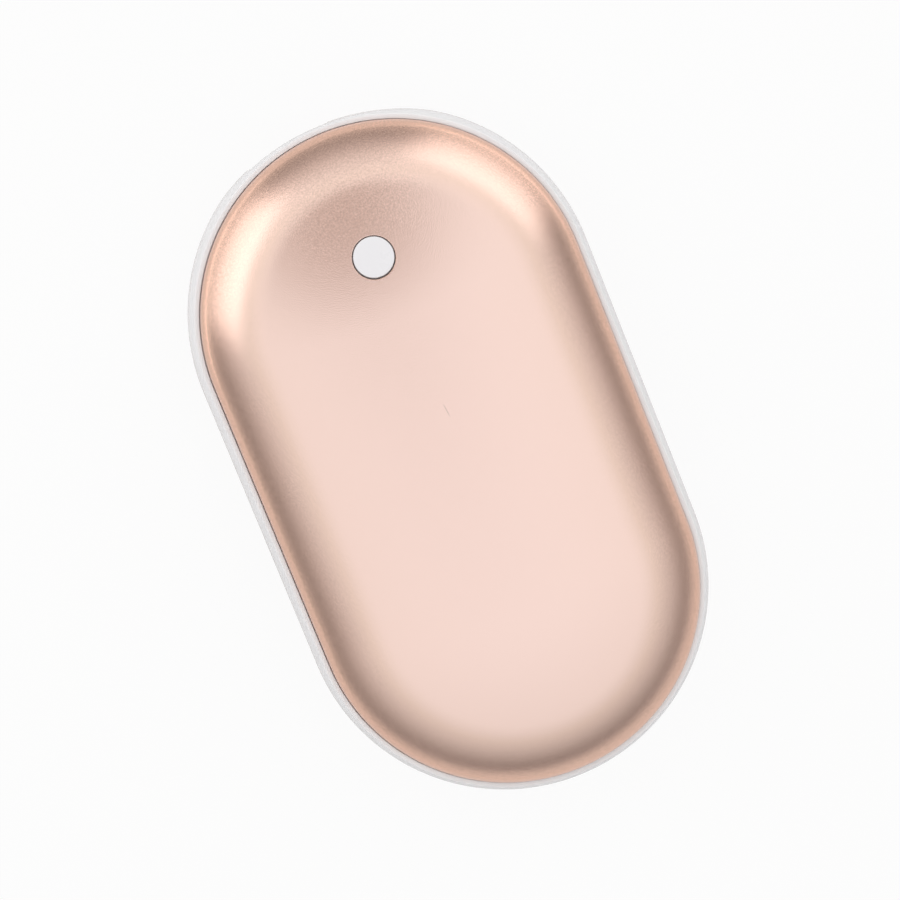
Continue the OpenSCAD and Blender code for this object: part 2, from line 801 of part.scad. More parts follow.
// A pan-head screw, drawn with its head down and its seat at height zero
module pan_screw() {
    difference() {
        translate([0, 0, -screw_head_h]) union() {
            cylinder(h = screw_head_h, d = screw_head_d);
        }
        for (a = [0, 90]) {
            rotate([0, 0, a]) box([-screw_head_d / 3, screw_head_d / 3], [-0.25, 0.25],
                [-screw_head_h - slack, -screw_head_h / 2]);
        }
    }
    cylinder(h = screw_l - screw_d / 2, d = screw_d - 0.04);
    translate([0, 0, screw_l - screw_d / 2]) cylinder(h = screw_d / 2, d1 = screw_d - 0.04, d2 = screw_d / 4);
}

module board_screws() {
    color("#8E9196") for (s = board_boss_stations) {
        at_station(s) translate([boss_c_r, 0, pcb_bottom]) pan_screw();
    }
}

module tray_screws() {
    color("#8E9196") for (s = tray_boss_stations) {
        at_station(s) translate([boss_c_r, 0, plate_bottom]) pan_screw();
    }
}

// Ports

module usb_a_shell() {
    color("#BFC2C6") {
        translate([usb_a_x, port_front - usb_a_depth, mid_z]) rotate([-90, 0, 0]) {
            linear_extrude(usb_a_depth) difference() {
                rounded_rect(usb_a_w, usb_a_h, usb_a_round);
                rounded_rect(usb_a_w - 2 * port_sheet, usb_a_h - 2 * port_sheet, usb_a_round - port_sheet);
            }
        }
        for (p = usb_a_legs) {
            translate([p[0], p[1], pcb_top]) {
                box([-port_sheet / 2, port_sheet / 2], [-leg_w / 2, leg_w / 2], [-leg_l, usb_a_h / 2]);
            }
        }
    }
}

module usb_a_tongue() {
    inner_w = usb_a_w - 2 * port_sheet - 0.1;
    inner_h = usb_a_h - 2 * port_sheet - 0.1;
    rear = port_front - usb_a_depth;
    color("#F2F2F0") difference() {
        union() {
            translate([usb_a_x, rear, mid_z]) rotate([-90, 0, 0]) linear_extrude(usb_a_block)
                rounded_rect(inner_w, inner_h, usb_a_round - port_sheet);
            box([usb_a_x - usb_a_tongue_w / 2, usb_a_x + usb_a_tongue_w / 2],
                [rear + usb_a_block - slack, rear + usb_a_block + usb_a_tongue_l],
                [usb_a_tongue_z - usb_a_tongue_t / 2, usb_a_tongue_z + usb_a_tongue_t / 2]);
        }
        for (i = [-1.5 : 1.5]) {
            x = usb_a_x + i * usb_a_pin_pitch;
            box([x - usb_a_pin_w / 2, x + usb_a_pin_w / 2], [rear - slack, usb_a_pin_end],
                [usb_a_pin_z - usb_a_pin_t / 2, usb_a_pin_z + usb_a_pin_t]);
        }
    }
}

module usb_a_contacts() {
    color("#D4AF55") for (i = [-1.5 : 1.5]) {
        x = usb_a_x + i * usb_a_pin_pitch;
        box([x - usb_a_pin_w / 2, x + usb_a_pin_w / 2],
            [usb_a_tail_y - usb_a_pin_t / 2, usb_a_pin_end],
            [usb_a_pin_z, usb_a_pin_z + usb_a_pin_t]);
        box([x - usb_a_pin_w / 4, x + usb_a_pin_w / 4],
            [usb_a_tail_y - usb_a_pin_t / 2, usb_a_tail_y + usb_a_pin_t / 2],
            [pcb_bottom - pin_below, usb_a_pin_z + usb_a_pin_t]);
    }
}

// Outline of the micro-USB shell, wide at the top
module micro_outline(w, h, chamfer) {
    polygon([
        [-w / 2, h / 2], [w / 2, h / 2], [w / 2, -h / 2 + chamfer],
        [w / 2 - chamfer, -h / 2], [-w / 2 + chamfer, -h / 2], [-w / 2, -h / 2 + chamfer]
    ]);
}

module micro_usb_shell() {
    color("#BFC2C6") {
        translate([micro_x, port_front, micro_z]) rotate([90, 0, 0]) linear_extrude(micro_depth) difference() {
            micro_outline(micro_w, micro_h, micro_chamfer);
            micro_outline(micro_w - 2 * port_sheet, micro_h - 2 * port_sheet, micro_chamfer - port_sheet / 2);
        }
        for (p = micro_legs) {
            translate([p[0], p[1], pcb_top]) {
                box([-port_sheet / 2, port_sheet / 2], [-leg_w / 2, leg_w / 2], [-leg_l, micro_h / 2]);
            }
        }
    }
}

module micro_usb_tongue() {
    w = micro_w - 2 * port_sheet - 0.1;
    h = micro_h - 2 * port_sheet - 0.1;
    rear = port_front - micro_depth;
    color("#1F1F21") {
        translate([micro_x, rear + micro_block, micro_z]) rotate([90, 0, 0])
            linear_extrude(micro_block) micro_outline(w, h, micro_chamfer - port_sheet / 2);
        box([micro_x - micro_tongue_w / 2, micro_x + micro_tongue_w / 2], [rear + slack / 2, port_front - 0.9],
            [micro_z, micro_z + micro_tongue_t]);
    }
}

module micro_usb_contacts() {
    rear = port_front - micro_depth;
    color("#D4AF55") for (i = [-2 : 2]) {
        x = micro_x + i * micro_pin_pitch;
        box([x - 0.15, x + 0.15], [rear + micro_block, port_front - 1.2], [micro_z - 0.12, micro_z]);
        box([x - 0.15, x + 0.15], [micro_tail_y, rear], [pcb_top, pcb_top + 0.2]);
    }
}

// Parts soldered on the board

module indicator_leds() {
    base_h = 0.3;
    lens_h = 0.4;
    color("#F7F3D8") for (x = [-led_x, led_x], y = [-led_pitch / 2, led_pitch / 2]) {
        translate([x, button_y + y, pcb_top]) {
            box([-led_w / 2, led_w / 2], [-led_l / 2, led_l / 2], [0, base_h]);
            box([-led_w / 2, led_w / 2], [-led_l / 3, led_l / 3], [0, base_h + lens_h]);
        }
    }
}

// A small-outline chip with its legs, count on each long side
module outline_chip(l, count) {
    foot_t = 0.2;
    knee = outline_chip_reach / 2;
    knee_z = outline_chip_h / 2 + foot_t / 2;
    box([-outline_chip_w / 2, outline_chip_w / 2], [-l / 2, l / 2], [foot_t * 0.75, outline_chip_h]);
    for (side = [0, 1], i = [0 : count - 1]) {
        mirror([side, 0, 0]) translate([outline_chip_w / 2, (i - (count - 1) / 2) * outline_chip_pitch, 0]) {
            box([-foot_t, knee], [-foot_t, foot_t], [knee_z - foot_t, knee_z]);
            box([knee - foot_t / 2, knee + foot_t / 2], [-foot_t, foot_t], [0, knee_z]);
            box([knee - foot_t / 2, outline_chip_reach], [-foot_t, foot_t], [0, foot_t]);
        }
    }
}

module control_chip() {
    color("#26272A") translate([control_chip_x, control_chip_y, pcb_top]) outline_chip(control_chip_l, 6);
}

// The charge chip and most of the small parts are on the board's underside
module under_board() {
    translate([0, 0, pcb_bottom]) mirror([0, 0, 1]) children();
}

module charge_chip() {
    color("#26272A") under_board() translate([charge_chip_x, charge_chip_y, 0]) outline_chip(charge_chip_l, 4);
}

module mosfets() {
    leg_w = 0.4;
    leg_h = 0.3;
    leg_out = mosfet_w / 2 + mosfet_leg;
    color("#26272A") for (i = [-0.5, 0.5]) {
        translate([inductor_x + i * mosfet_pitch, mosfet_y, pcb_top]) {
            box([-mosfet_l / 2, mosfet_l / 2], [-mosfet_w / 2, mosfet_w / 2], [0.1, mosfet_h]);
            box([-leg_w / 2, leg_w / 2], [0, leg_out], [0, leg_h]);
            for (x = [-mosfet_l / 3, mosfet_l / 3]) {
                box([x - leg_w / 2, x + leg_w / 2], [-leg_out, 0], [0, leg_h]);
            }
        }
    }
}

module power_inductor() {
    flange_h = 0.8;
    inductor_h = 3.4;
    color("#3A3B3E") translate([inductor_x, inductor_y, pcb_top]) {
        box([-inductor_w / 2, inductor_w / 2], [-inductor_w / 2, inductor_w / 2], [0, flange_h]);
        cylinder(h = inductor_h, d = inductor_w - 1.8);
        translate([0, 0, inductor_h - flange_h]) cylinder(h = flange_h, d = inductor_w - 0.2);
    }
}

// A row of small parts along X or Y: count of them, each size[0] by size[1] by size[2]
module small_parts(start, step, count, size) {
    for (i = [0 : count - 1]) {
        translate([start[0] + i * step[0] - size[0] / 2, start[1] + i * step[1] - size[1] / 2, 0]) cube(size);
    }
}

module capacitors() {
    size = [2, 1.25, 1.1];
    color("#B99B6B") {
        under_board() for (x = [0, 5.2]) {
            small_parts([x, charge_chip_y - 2], [0, 2], 3, size);
        }
    }
}

module resistors() {
    size = [0.8, 1.6, 0.45];
    color("#1D1D1F") under_board() {
        small_parts([charge_chip_x - 2, usb_a_tail_y + resistors_before_tails], [1.5, 0], 4, size);
        small_parts([charge_chip_x - 6, charge_chip_y - 2], [0, 2.4], 2, size);
        small_parts([7.4, charge_chip_y - 1], [1.5, 0], 3, size);
    }
}

module heater_socket() {
    color("#EFE9D6") translate([socket_x, socket_y, pcb_top]) difference() {
        box([-socket_w / 2, socket_w / 2], [-socket_d / 2, socket_d / 2], [0, socket_h]);
        box([-socket_w / 2 + socket_wall, socket_w / 2 - socket_wall],
            [-socket_d / 2 + socket_wall, socket_d / 2 - socket_wall], [socket_wall, socket_h + slack]);
    }
}

// Middles of the plug's four ways, left to right
function plug_way(i) = socket_x + (i - 1.5) * socket_pitch;

module heater_plug() {
    color("#F6F2E4") translate([socket_x, socket_y, pcb_top]) difference() {
        half_w = socket_w / 2 - socket_wall - plug_gap;
        half_d = socket_d / 2 - socket_wall - plug_gap;
        box([-half_w, half_w], [-half_d, half_d], [socket_wall + plug_gap, plug_h]);
        for (i = [0 : 3]) {
            translate([plug_way(i) - socket_x, 0, plug_h - way_depth])
                cylinder(h = way_depth + slack, d = heater_lead_d + 2 * plug_gap);
        }
    }
}

// Cells and tray

module cell_bores(extra) {
    for (x = [-cell_x, cell_x]) {
        translate([x, tray_front + slack, mid_z]) rotate([90, 0, 0])
            cylinder(h = tray_front - tray_back + slack, d = cell_d + 2 * extra);
    }
}

module outline_plan(r) {
    translate([0, port_c]) circle(r);
    translate([0, -far_c]) circle(r);
    translate([-r, -far_c]) square([2 * r, far_c + port_c]);
}

module battery_tray() {
    end_top = tab_z - battery_lead_d / 2 - tray_gap;
    color("#3B3D41") difference() {
        union() {
            intersection() {
                translate([0, 0, plate_bottom]) linear_extrude(tray_wall) outline_plan(tray_r);
                box([-reach, reach], [-reach, tray_front], [0, body_t]);
            }
            intersection() {
                linear_extrude(body_t) outline_plan(tray_rib_r);
                for (y = tray_rib_y) {
                    box([-reach, reach], [y - tray_rib_t / 2, y + tray_rib_t / 2], [rib_bottom, plate_top]);
                    for (side = [0, 1]) {
                        mirror([side, 0, 0])
                            box([cell_x, reach], [y - tray_rib_t / 2, y + tray_rib_t / 2],
                                [plate_bottom, rib_top]);
                    }
                }
            }
        }
        difference() {
            cell_bores(cell_play);
            box([-reach, reach], [tray_front - tray_wall, reach], [0, body_t]);
        }
        for (s = tray_boss_stations) {
            at_station(s) translate([boss_c_r, 0, plate_bottom - slack])
                cylinder(h = tray_wall + 2 * slack, d = screw_d + 2 * screw_play);
        }
    }
    color("#3B3D41") {
        box([-17, 17], [tray_front - tray_wall, tray_front], [plate_bottom, end_top]);
        for (side = [0, 1]) {
            mirror([side, 0, 0])
                box([boss_d / 2 + tray_gap, 13], [tray_back - tray_wall, tray_back], [plate_bottom, end_top]);
        }
    }
}

// A cell's can lies along Y, with the beaded groove near its positive end
module cell_can(x) {
    bead_at = 4.5;
    bead_r = 0.6;
    crimp_w = 0.9;
    vent_depth = 0.5;
    can_l = can_front - cell_back;
    translate([x, cell_back, mid_z]) rotate([-90, 0, 0]) rotate_extrude() difference() {
        square([can_d / 2, can_l]);
        translate([can_d / 2, can_l - bead_at]) circle(bead_r);
        translate([cap_seat_r, can_l - vent_depth]) square([can_d / 2 - cap_seat_r - crimp_w, slack]);
        translate([0, can_l - cap_seat_t]) square([cap_seat_r + slack / 2, slack]);
    }
}

module left_cell_can() {
    color("#B4B7BB") cell_can(-cell_x);
}

module right_cell_can() {
    color("#B4B7BB") cell_can(cell_x);
}

module cell_sleeve(x) {
    lip = 1.6;
    can_l = can_front - cell_back;
    translate([x, cell_back, mid_z]) rotate([-90, 0, 0]) difference() {
        cylinder(h = can_l + sleeve_t, d = cell_d);
        translate([0, 0, -slack]) cylinder(h = can_l + slack, d = can_d);
        cylinder(h = can_l + slack, d = can_d - 2 * lip);
    }
}

module left_cell_sleeve() {
    color("#4FA3A5") cell_sleeve(-cell_x);
}

module right_cell_sleeve() {
    color("#4FA3A5") cell_sleeve(cell_x);
}

module cell_caps() {
    color("#C6C8CB") for (x = [-cell_x, cell_x]) {
        translate([x, can_front, mid_z]) rotate([-90, 0, 0]) {
            translate([0, 0, -cap_seat_t]) cylinder(h = cap_seat_t, r = cap_seat_r - glue_gap);
            cylinder(h = cell_cap_h, d = cap_d);
        }
    }
}

module cell_insulators() {
    color("#F2F2EE") for (x = [-cell_x, cell_x]) {
        translate([x, can_front + sleeve_t, mid_z]) rotate([-90, 0, 0]) difference() {
            cylinder(h = insulator_t, d = can_d - 1);
            translate([0, 0, -slack]) cylinder(h = 2 * slack, r = cap_seat_r + 0.1);
        }
    }
}

module cell_strip(y) {
    half = cell_x + 3.5;
    slot_w = 0.8;
    slot_h = strip_w - 3;
    difference() {
        box([-half, half], [y, y + strip_t], [mid_z - strip_w / 2, mid_z + strip_w / 2]);
        for (x = [-cell_x, cell_x]) {
            box([x - slot_w / 2, x + slot_w / 2], [y - slack, y + slack],
                [mid_z - slot_h / 2, mid_z + slot_h / 2]);
        }
    }
}

module positive_strip() {
    color("#D0D2D3") {
        cell_strip(cell_front);
        box([cell_x - 1.5, cell_x + 1.5], [cell_front, cell_front + strip_t], [mid_z, tab_top]);
    }
}

module negative_strip() {
    color("#D0D2D3") {
        cell_strip(cell_back - strip_t);
        box([-1.5, 1.5], [cell_back - strip_t, cell_back], [mid_z, tab_top]);
    }
}

// Heaters

module heater_plan(margin_back, margin_front, margin_side) {
    w = heater_w - 2 * margin_side;
    l = heater_l - margin_back - margin_front;
    translate([0, heater_back + margin_back + l / 2]) rounded_rect(w, l, heater_round - margin_side);
}

module front_patch(outer_inset, inner_inset) {
    intersection() {
        at_front_seam() domed_layer(outer_inset, inner_inset, 0);
        translate([0, 0, mid_z]) linear_extrude(body_t) children();
    }
}

module back_patch(outer_inset, inner_inset) {
    intersection() {
        at_back_seam() domed_layer(outer_inset, inner_inset, 0);
        linear_extrude(mid_z) children();
    }
}

// Where the two ends of the track are soldered to the leads
track_side = heater_w / 2 - track_from_side;
track_pitch = 2 * track_side / (track_passes - 1);
solder_y = heater_front - 1.6;
solder_x = [track_side - track_pitch, track_side];

// The track runs up and down the film and comes back along its front edge
module track_plan() {
    bend_front = heater_front - 5.5;
    bend_back = heater_back + 3.5;
    for (i = [0 : track_passes - 1]) {
        end = i == 0 || i == track_passes - 1;
        translate([i * track_pitch - track_side - track_w / 2, bend_back])
            square([track_w, (end ? solder_y + track_w / 2 : bend_front) - bend_back]);
    }
    for (i = [0 : track_passes - 2]) {
        back = i % 2 == 0;
        translate([(i + 0.5) * track_pitch - track_side, back ? bend_back : bend_front]) intersection() {
            difference() {
                circle((track_pitch + track_w) / 2);
                circle((track_pitch - track_w) / 2);
            }
            translate([-track_pitch, back ? -2 * track_pitch : 0]) square(2 * track_pitch);
        }
    }
    translate([-track_side - track_w / 2, solder_y - track_w / 2])
        square([2 * track_side - track_pitch + track_w / 2, track_w]);
    for (x = solder_x) {
        translate([x, solder_y]) circle(track_w * 0.85);
    }
}

module front_heater_film() {
    color("#C98A3A") front_patch(film_inset, track_inset) heater_plan(0, 0, 0);
}

module back_heater_film() {
    color("#C98A3A") back_patch(film_inset, track_inset) heater_plan(0, 0, 0);
}

module front_heater_track() {
    color("#A8A29A") front_patch(track_inset, track_inset + track_t) track_plan();
}

module back_heater_track() {
    color("#A8A29A") back_patch(track_inset, track_inset + track_t) track_plan();
}

module front_insulation_pad() {
    color("#E7E3DA") front_patch(pad_inset, pad_inset + pad_t)
        heater_plan(pad_margin, pad_front_margin, pad_margin);
}

module back_insulation_pad() {
    color("#E7E3DA") back_patch(pad_inset, pad_inset + pad_t)
        heater_plan(pad_margin, pad_front_margin, pad_margin);
}

// Leads

across = [1, 0, 0];
plug_top = pcb_top + plug_h;
plug_seat = plug_top - way_depth;
board_pad_y = pcb_back + 1.4;

// Height of a lead's middle where it lies on a track's end, which slopes a little
solder_gap = 0.02;
function front_lead_z(x) = front_z(x, solder_y, track_inset + track_t) - heater_lead_d / 2 - solder_gap;
function back_lead_z(x) = back_z(x, solder_y, track_inset + track_t) + heater_lead_d / 2 + solder_gap;

module front_heater_leads() {
    color("#B8352F") for (i = [0, 1]) {
        x = solder_x[i];
        way = plug_way(i);
        z = front_lead_z(x);
        lead([
            [x, solder_y - 0.8, z],
            [x, solder_y + 1, z],
            [x, solder_y + 3, z - 0.2],
            [(x + way) / 2, pcb_back + 0.6, z - 1.8],
            [way, pcb_back + 3.4, z - 4.6],
            [way, socket_y, plug_top + 1.6],
            [way, socket_y, plug_top + 0.4],
            [way, socket_y, plug_seat]
        ], heater_lead_d, across);
    }
}

module back_heater_leads() {
    color("#B8352F") for (i = [0, 1]) {
        x = solder_x[i];
        z = back_lead_z(x);
        lead([
            [x, solder_y - 0.8, z],
            [x, solder_y + 1, z],
            [x, solder_y + 3, z + 0.1],
            [x, pcb_back, z + 1.6],
            [x, board_pad_y, pcb_bottom - 2.4],
            [x, board_pad_y, pcb_bottom - 1.2],
            [x, board_pad_y, pcb_bottom]
        ], heater_lead_d, across);
    }
}

module red_battery_lead() {
    tab_y = cell_front + strip_t;
    lead_y = board_pad_y - 0.2;
    color("#B8352F") lead([
        [cell_x, tab_y, tab_z],
        [cell_x, tab_y + 0.5, tab_z],
        [cell_x, tray_front - 0.2, tab_z],
        [cell_x, lead_y - 0.2, tab_z - 1.5],
        [cell_x, lead_y, tab_z - 4],
        [cell_x, lead_y, pcb_top + 1.5],
        [cell_x, lead_y, pcb_top]
    ], battery_lead_d, across);
}

module black_battery_lead() {
    color("#232325") lead([
        [0, cell_back, tab_z],
        [0, cell_back + 2, tab_z],
        [0, cell_back / 2, tab_z],
        [0, 0, tab_z],
        [0, cell_front / 2, tab_z],
        [0, cell_front, tab_z],
        [0, tray_front - 0.2, tab_z],
        [0, board_pad_y - 0.2, tab_z - 1.6],
        [0, board_pad_y, tab_z - 4],
        [0, board_pad_y, pcb_top + 1.5],
        [0, board_pad_y, pcb_top]
    ], battery_lead_d, across);
}

// Thermistors, each taped to a film beside its track
bead_x = track_side + 3.4;
bead_back = heater_front - pad_front_margin + 0.4;
bead_split = 0.45;

module bead() {
    rotate([-90, 0, 0]) {
        translate([0, 0, bead_d / 2]) cylinder(h = bead_l - bead_d / 2, d = bead_d);
        translate([0, 0, bead_d / 2]) sphere(d = bead_d);
    }
}

// The slope of the film tips a bead's middle a little further in than its radius
bead_drop = bead_d / 2 + 0.03;
front_bead_z = front_z(bead_x, 0, track_inset) - bead_drop;
back_bead_z = back_z(bead_x, 0, track_inset) + bead_drop;

module front_thermistor() {
    color("#2F4B6E") translate([bead_x, bead_back, front_bead_z]) bead();
}

module back_thermistor() {
    color("#2F4B6E") translate([bead_x, bead_back, back_bead_z]) bead();
}

module front_thermistor_leads() {
    color("#CFCFCB") for (i = [0, 1]) {
        x = bead_x + (i - 0.5) * 2 * bead_split;
        way = plug_way(i + 2);
        lead([
            [x, bead_back + bead_l, front_bead_z],
            [x, bead_back + bead_l + 1, front_bead_z],
            [x, bead_back + bead_l + 3, front_bead_z - 0.2],
            [(x + way) / 2, pcb_back, front_bead_z - 1.8],
            [way, pcb_back + 3.4, front_bead_z - 4.4],
            [way, socket_y, plug_top + 1.2],
            [way, socket_y, plug_top + 0.2],
            [way, socket_y, plug_seat]
        ], sensor_lead_d, across);
    }
}

module back_thermistor_leads() {
    color("#CFCFCB") for (i = [0, 1]) {
        x = bead_x + (i - 0.5) * 2 * bead_split;
        lead([
            [x, bead_back + bead_l, back_bead_z],
            [x, bead_back + bead_l + 1, back_bead_z],
            [x, bead_back + bead_l + 3, back_bead_z + 0.1],
            [x, pcb_back, back_bead_z + 1.4],
            [x, board_pad_y, pcb_bottom - 2],
            [x, board_pad_y, pcb_bottom - 1],
            [x, board_pad_y, pcb_bottom]
        ], sensor_lead_d, across);
    }
}

front_shell();
back_shell();
middle_frame();
front_liner();
back_liner();
button_cap();
button_guide();
switch_body();
switch_cover();
switch_plunger();
switch_dome();
switch_pins();
main_board();
board_screws();
usb_a_shell();
usb_a_tongue();
usb_a_contacts();
micro_usb_shell();
micro_usb_tongue();
micro_usb_contacts();
indicator_leds();
control_chip();
charge_chip();
mosfets();
power_inductor();
capacitors();
resistors();
heater_socket();
heater_plug();
battery_tray();
tray_screws();
left_cell_can();
right_cell_can();
left_cell_sleeve();
right_cell_sleeve();
cell_caps();
cell_insulators();
positive_strip();
negative_strip();
red_battery_lead();
black_battery_lead();
front_heater_film();
front_heater_track();
front_insulation_pad();
back_heater_film();
back_heater_track();
back_insulation_pad();
front_heater_leads();
back_heater_leads();
front_thermistor();
back_thermistor();
front_thermistor_leads();
back_thermistor_leads();
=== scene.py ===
from math import acos, asin, atan2, ceil, cos, degrees, hypot, pi, radians, sin, sqrt, tan

import bmesh
import bpy
from mathutils import Matrix, Vector


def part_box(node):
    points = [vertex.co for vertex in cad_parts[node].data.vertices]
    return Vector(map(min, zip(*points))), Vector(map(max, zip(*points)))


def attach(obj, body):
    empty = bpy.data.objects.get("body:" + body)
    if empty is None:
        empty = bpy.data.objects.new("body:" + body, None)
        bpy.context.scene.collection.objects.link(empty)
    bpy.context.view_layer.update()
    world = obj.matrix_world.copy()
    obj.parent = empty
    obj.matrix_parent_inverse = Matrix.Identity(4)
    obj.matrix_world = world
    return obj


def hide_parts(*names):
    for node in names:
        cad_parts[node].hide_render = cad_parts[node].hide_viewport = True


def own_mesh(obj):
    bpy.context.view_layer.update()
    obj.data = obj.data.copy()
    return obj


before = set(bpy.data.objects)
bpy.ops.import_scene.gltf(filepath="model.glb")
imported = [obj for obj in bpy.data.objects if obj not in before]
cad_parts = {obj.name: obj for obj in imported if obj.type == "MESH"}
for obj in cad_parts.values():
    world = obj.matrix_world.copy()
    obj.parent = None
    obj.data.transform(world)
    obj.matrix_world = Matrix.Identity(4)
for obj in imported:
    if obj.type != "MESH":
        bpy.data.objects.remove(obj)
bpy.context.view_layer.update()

# Camera, fitted to the photograph's square frame, in pixels, radians and metres
IMAGE_SIDE = 900
FOCAL_PIXELS = 2643
SHIFT_RIGHT_PIXELS = 0.565
SHIFT_DOWN_PIXELS = 1.943
SENSOR_WIDTH = 36
CAMERA_DISTANCE = 0.4
CAMERA_TILT = 0.1175
CAMERA_CROSS = -0.0179
CAMERA_ROLL = 0.3857
CAMERA_AIM = Vector((0, 0.0003, 0.013425))
CLIP_START = 0.01


def photo_camera():
    back = Vector((sin(CAMERA_CROSS), sin(CAMERA_TILT), 0))
    back.z = sqrt(1 - back.length_squared)
    level = Vector((0, 1, 0)).cross(back).normalized()
    steep = back.cross(level)
    right = level * cos(CAMERA_ROLL) - steep * sin(CAMERA_ROLL)
    up = level * sin(CAMERA_ROLL) + steep * cos(CAMERA_ROLL)
    data = bpy.data.cameras.new("photo_camera")
    data.sensor_width = SENSOR_WIDTH
    data.lens = SENSOR_WIDTH * FOCAL_PIXELS / IMAGE_SIDE
    data.shift_x = -SHIFT_RIGHT_PIXELS / IMAGE_SIDE
    data.shift_y = SHIFT_DOWN_PIXELS / IMAGE_SIDE
    data.clip_start = CLIP_START
    camera = bpy.data.objects.new("photo_camera", data)
    bpy.context.scene.collection.objects.link(camera)
    turned = Matrix((right, up, back)).transposed().to_4x4()
    camera.matrix_world = Matrix.Translation(CAMERA_AIM + back * CAMERA_DISTANCE) @ turned
    bpy.context.scene.camera = camera


# Building of shader trees

def feed(tree, socket, value):
    """Links a socket to another node's output, or sets it to a plain value."""
    if isinstance(value, bpy.types.NodeSocket):
        tree.links.new(value, socket)
    else:
        socket.default_value = value


def add_node(tree, kind, inputs=None, **settings):
    node = tree.nodes.new("ShaderNode" + kind)
    for name, value in settings.items():
        setattr(node, name, value)
    for name, value in (inputs or {}).items():
        feed(tree, node.inputs[name], value)
    return node


def maths(tree, operation, a, b=0.0):
    return add_node(tree, "Math", {0: a, 1: b}, operation=operation).outputs[0]


def blend_colours(tree, share, a, b, mode="MIX"):
    """Blends colour b over colour a by a share; the Mix node's sockets 6 and 7 are its colours."""
    node = add_node(tree, "Mix", {0: share, 6: a, 7: b}, data_type="RGBA", blend_type=mode)
    return node.outputs[2]


def grey_level(tree, level):
    return add_node(tree, "CombineColor", {0: level, 1: level, 2: level}).outputs[0]


def object_place(tree):
    return add_node(tree, "TexCoord").outputs["Object"]


def new_group(name, inputs, outputs):
    """A shader group with named sockets, and its two end nodes."""
    tree = bpy.data.node_groups.new(name, "ShaderNodeTree")
    for label, kind, value in inputs:
        socket = tree.interface.new_socket(label, in_out="INPUT", socket_type="NodeSocket" + kind)
        socket.default_value = value
    for label, kind in outputs:
        tree.interface.new_socket(label, in_out="OUTPUT", socket_type="NodeSocket" + kind)
    start = tree.nodes.new("NodeGroupInput").outputs
    end = tree.nodes.new("NodeGroupOutput").inputs
    return tree, start, end


# Effects that several finishes share

# The level that noise swings about, and the share of soft noise in the grain, whose rest is pits
NOISE_MIDDLE = 0.5
SOFT_SHARE = 0.6


def sand_grain_group():
    """Fine random relief, as bead blasting or a textured mould leaves it."""
    tree, start, end = new_group(
        "sand_grain",
        [("Size", "Float", 0.0002)],
        [("Height", "Float"), ("Speckle", "Float")],
    )
    scale = maths(tree, "DIVIDE", 1.0, start["Size"])
    place = object_place(tree)
    soft = add_node(tree, "TexNoise", {"Vector": place, "Scale": scale, "Detail": 2.0, "Roughness": 0.6})
    pits = add_node(tree, "TexVoronoi", {"Vector": place, "Scale": scale}, feature="SMOOTH_F1")
    height = maths(tree, "MULTIPLY", soft.outputs[0], SOFT_SHARE)
    depth = maths(tree, "MULTIPLY", pits.outputs[0], 1 - SOFT_SHARE)
    feed(tree, end["Height"], maths(tree, "ADD", height, depth))
    feed(tree, end["Speckle"], soft.outputs[0])
    return tree


def surface_drift_group():
    """Slow changes of tone and gloss over a surface, from handling and from making."""
    tree, start, end = new_group(
        "surface_drift",
        [
            ("Color", "Color", (0.8, 0.8, 0.8, 1)),
            ("Roughness", "Float", 0.5),
            ("Size", "Float", 0.02),
            ("Tone", "Float", 0.05),
            ("Gloss", "Float", 0.05),
        ],
        [("Color", "Color"), ("Roughness", "Float")],
    )
    scale = maths(tree, "DIVIDE", 1.0, start["Size"])
    cloud = add_node(tree, "TexNoise", {"Vector": object_place(tree), "Scale": scale, "Detail": 4.0})
    swing = maths(tree, "MULTIPLY", maths(tree, "SUBTRACT", cloud.outputs[0], NOISE_MIDDLE), 2.0)
    grey = grey_level(tree, maths(tree, "ADD", maths(tree, "MULTIPLY", swing, start["Tone"]), 1.0))
    feed(tree, end["Color"], blend_colours(tree, 1.0, start["Color"], grey, "MULTIPLY"))
    gloss = maths(tree, "MULTIPLY", swing, start["Gloss"])
    feed(tree, end["Roughness"], maths(tree, "ADD", start["Roughness"], gloss))
    return tree


def drawn_lines_group():
    """Fine parallel lines, as rolling and drawing leave them on sheet metal."""
    tree, start, end = new_group(
        "drawn_lines",
        [("Width", "Float", 0.0001), ("Length", "Float", 0.004)],
        [("Height", "Float")],
    )
    across = maths(tree, "DIVIDE", 1.0, start["Width"])
    along = maths(tree, "DIVIDE", 1.0, start["Length"])
    stretch = add_node(tree, "CombineXYZ", {0: across, 1: along, 2: across}).outputs[0]
    place = add_node(tree, "VectorMath", {0: object_place(tree), 1: stretch}, operation="MULTIPLY")
    lines = add_node(tree, "TexNoise", {"Vector": place.outputs[0], "Scale": 1.0, "Detail": 2.0})
    feed(tree, end["Height"], lines.outputs[0])
    return tree


GROUPS = {
    "grain": sand_grain_group(),
    "drift": surface_drift_group(),
    "lines": drawn_lines_group(),
}


def add_group(tree, name, inputs):
    return add_node(tree, "Group", inputs, node_tree=GROUPS[name])


# Finishes

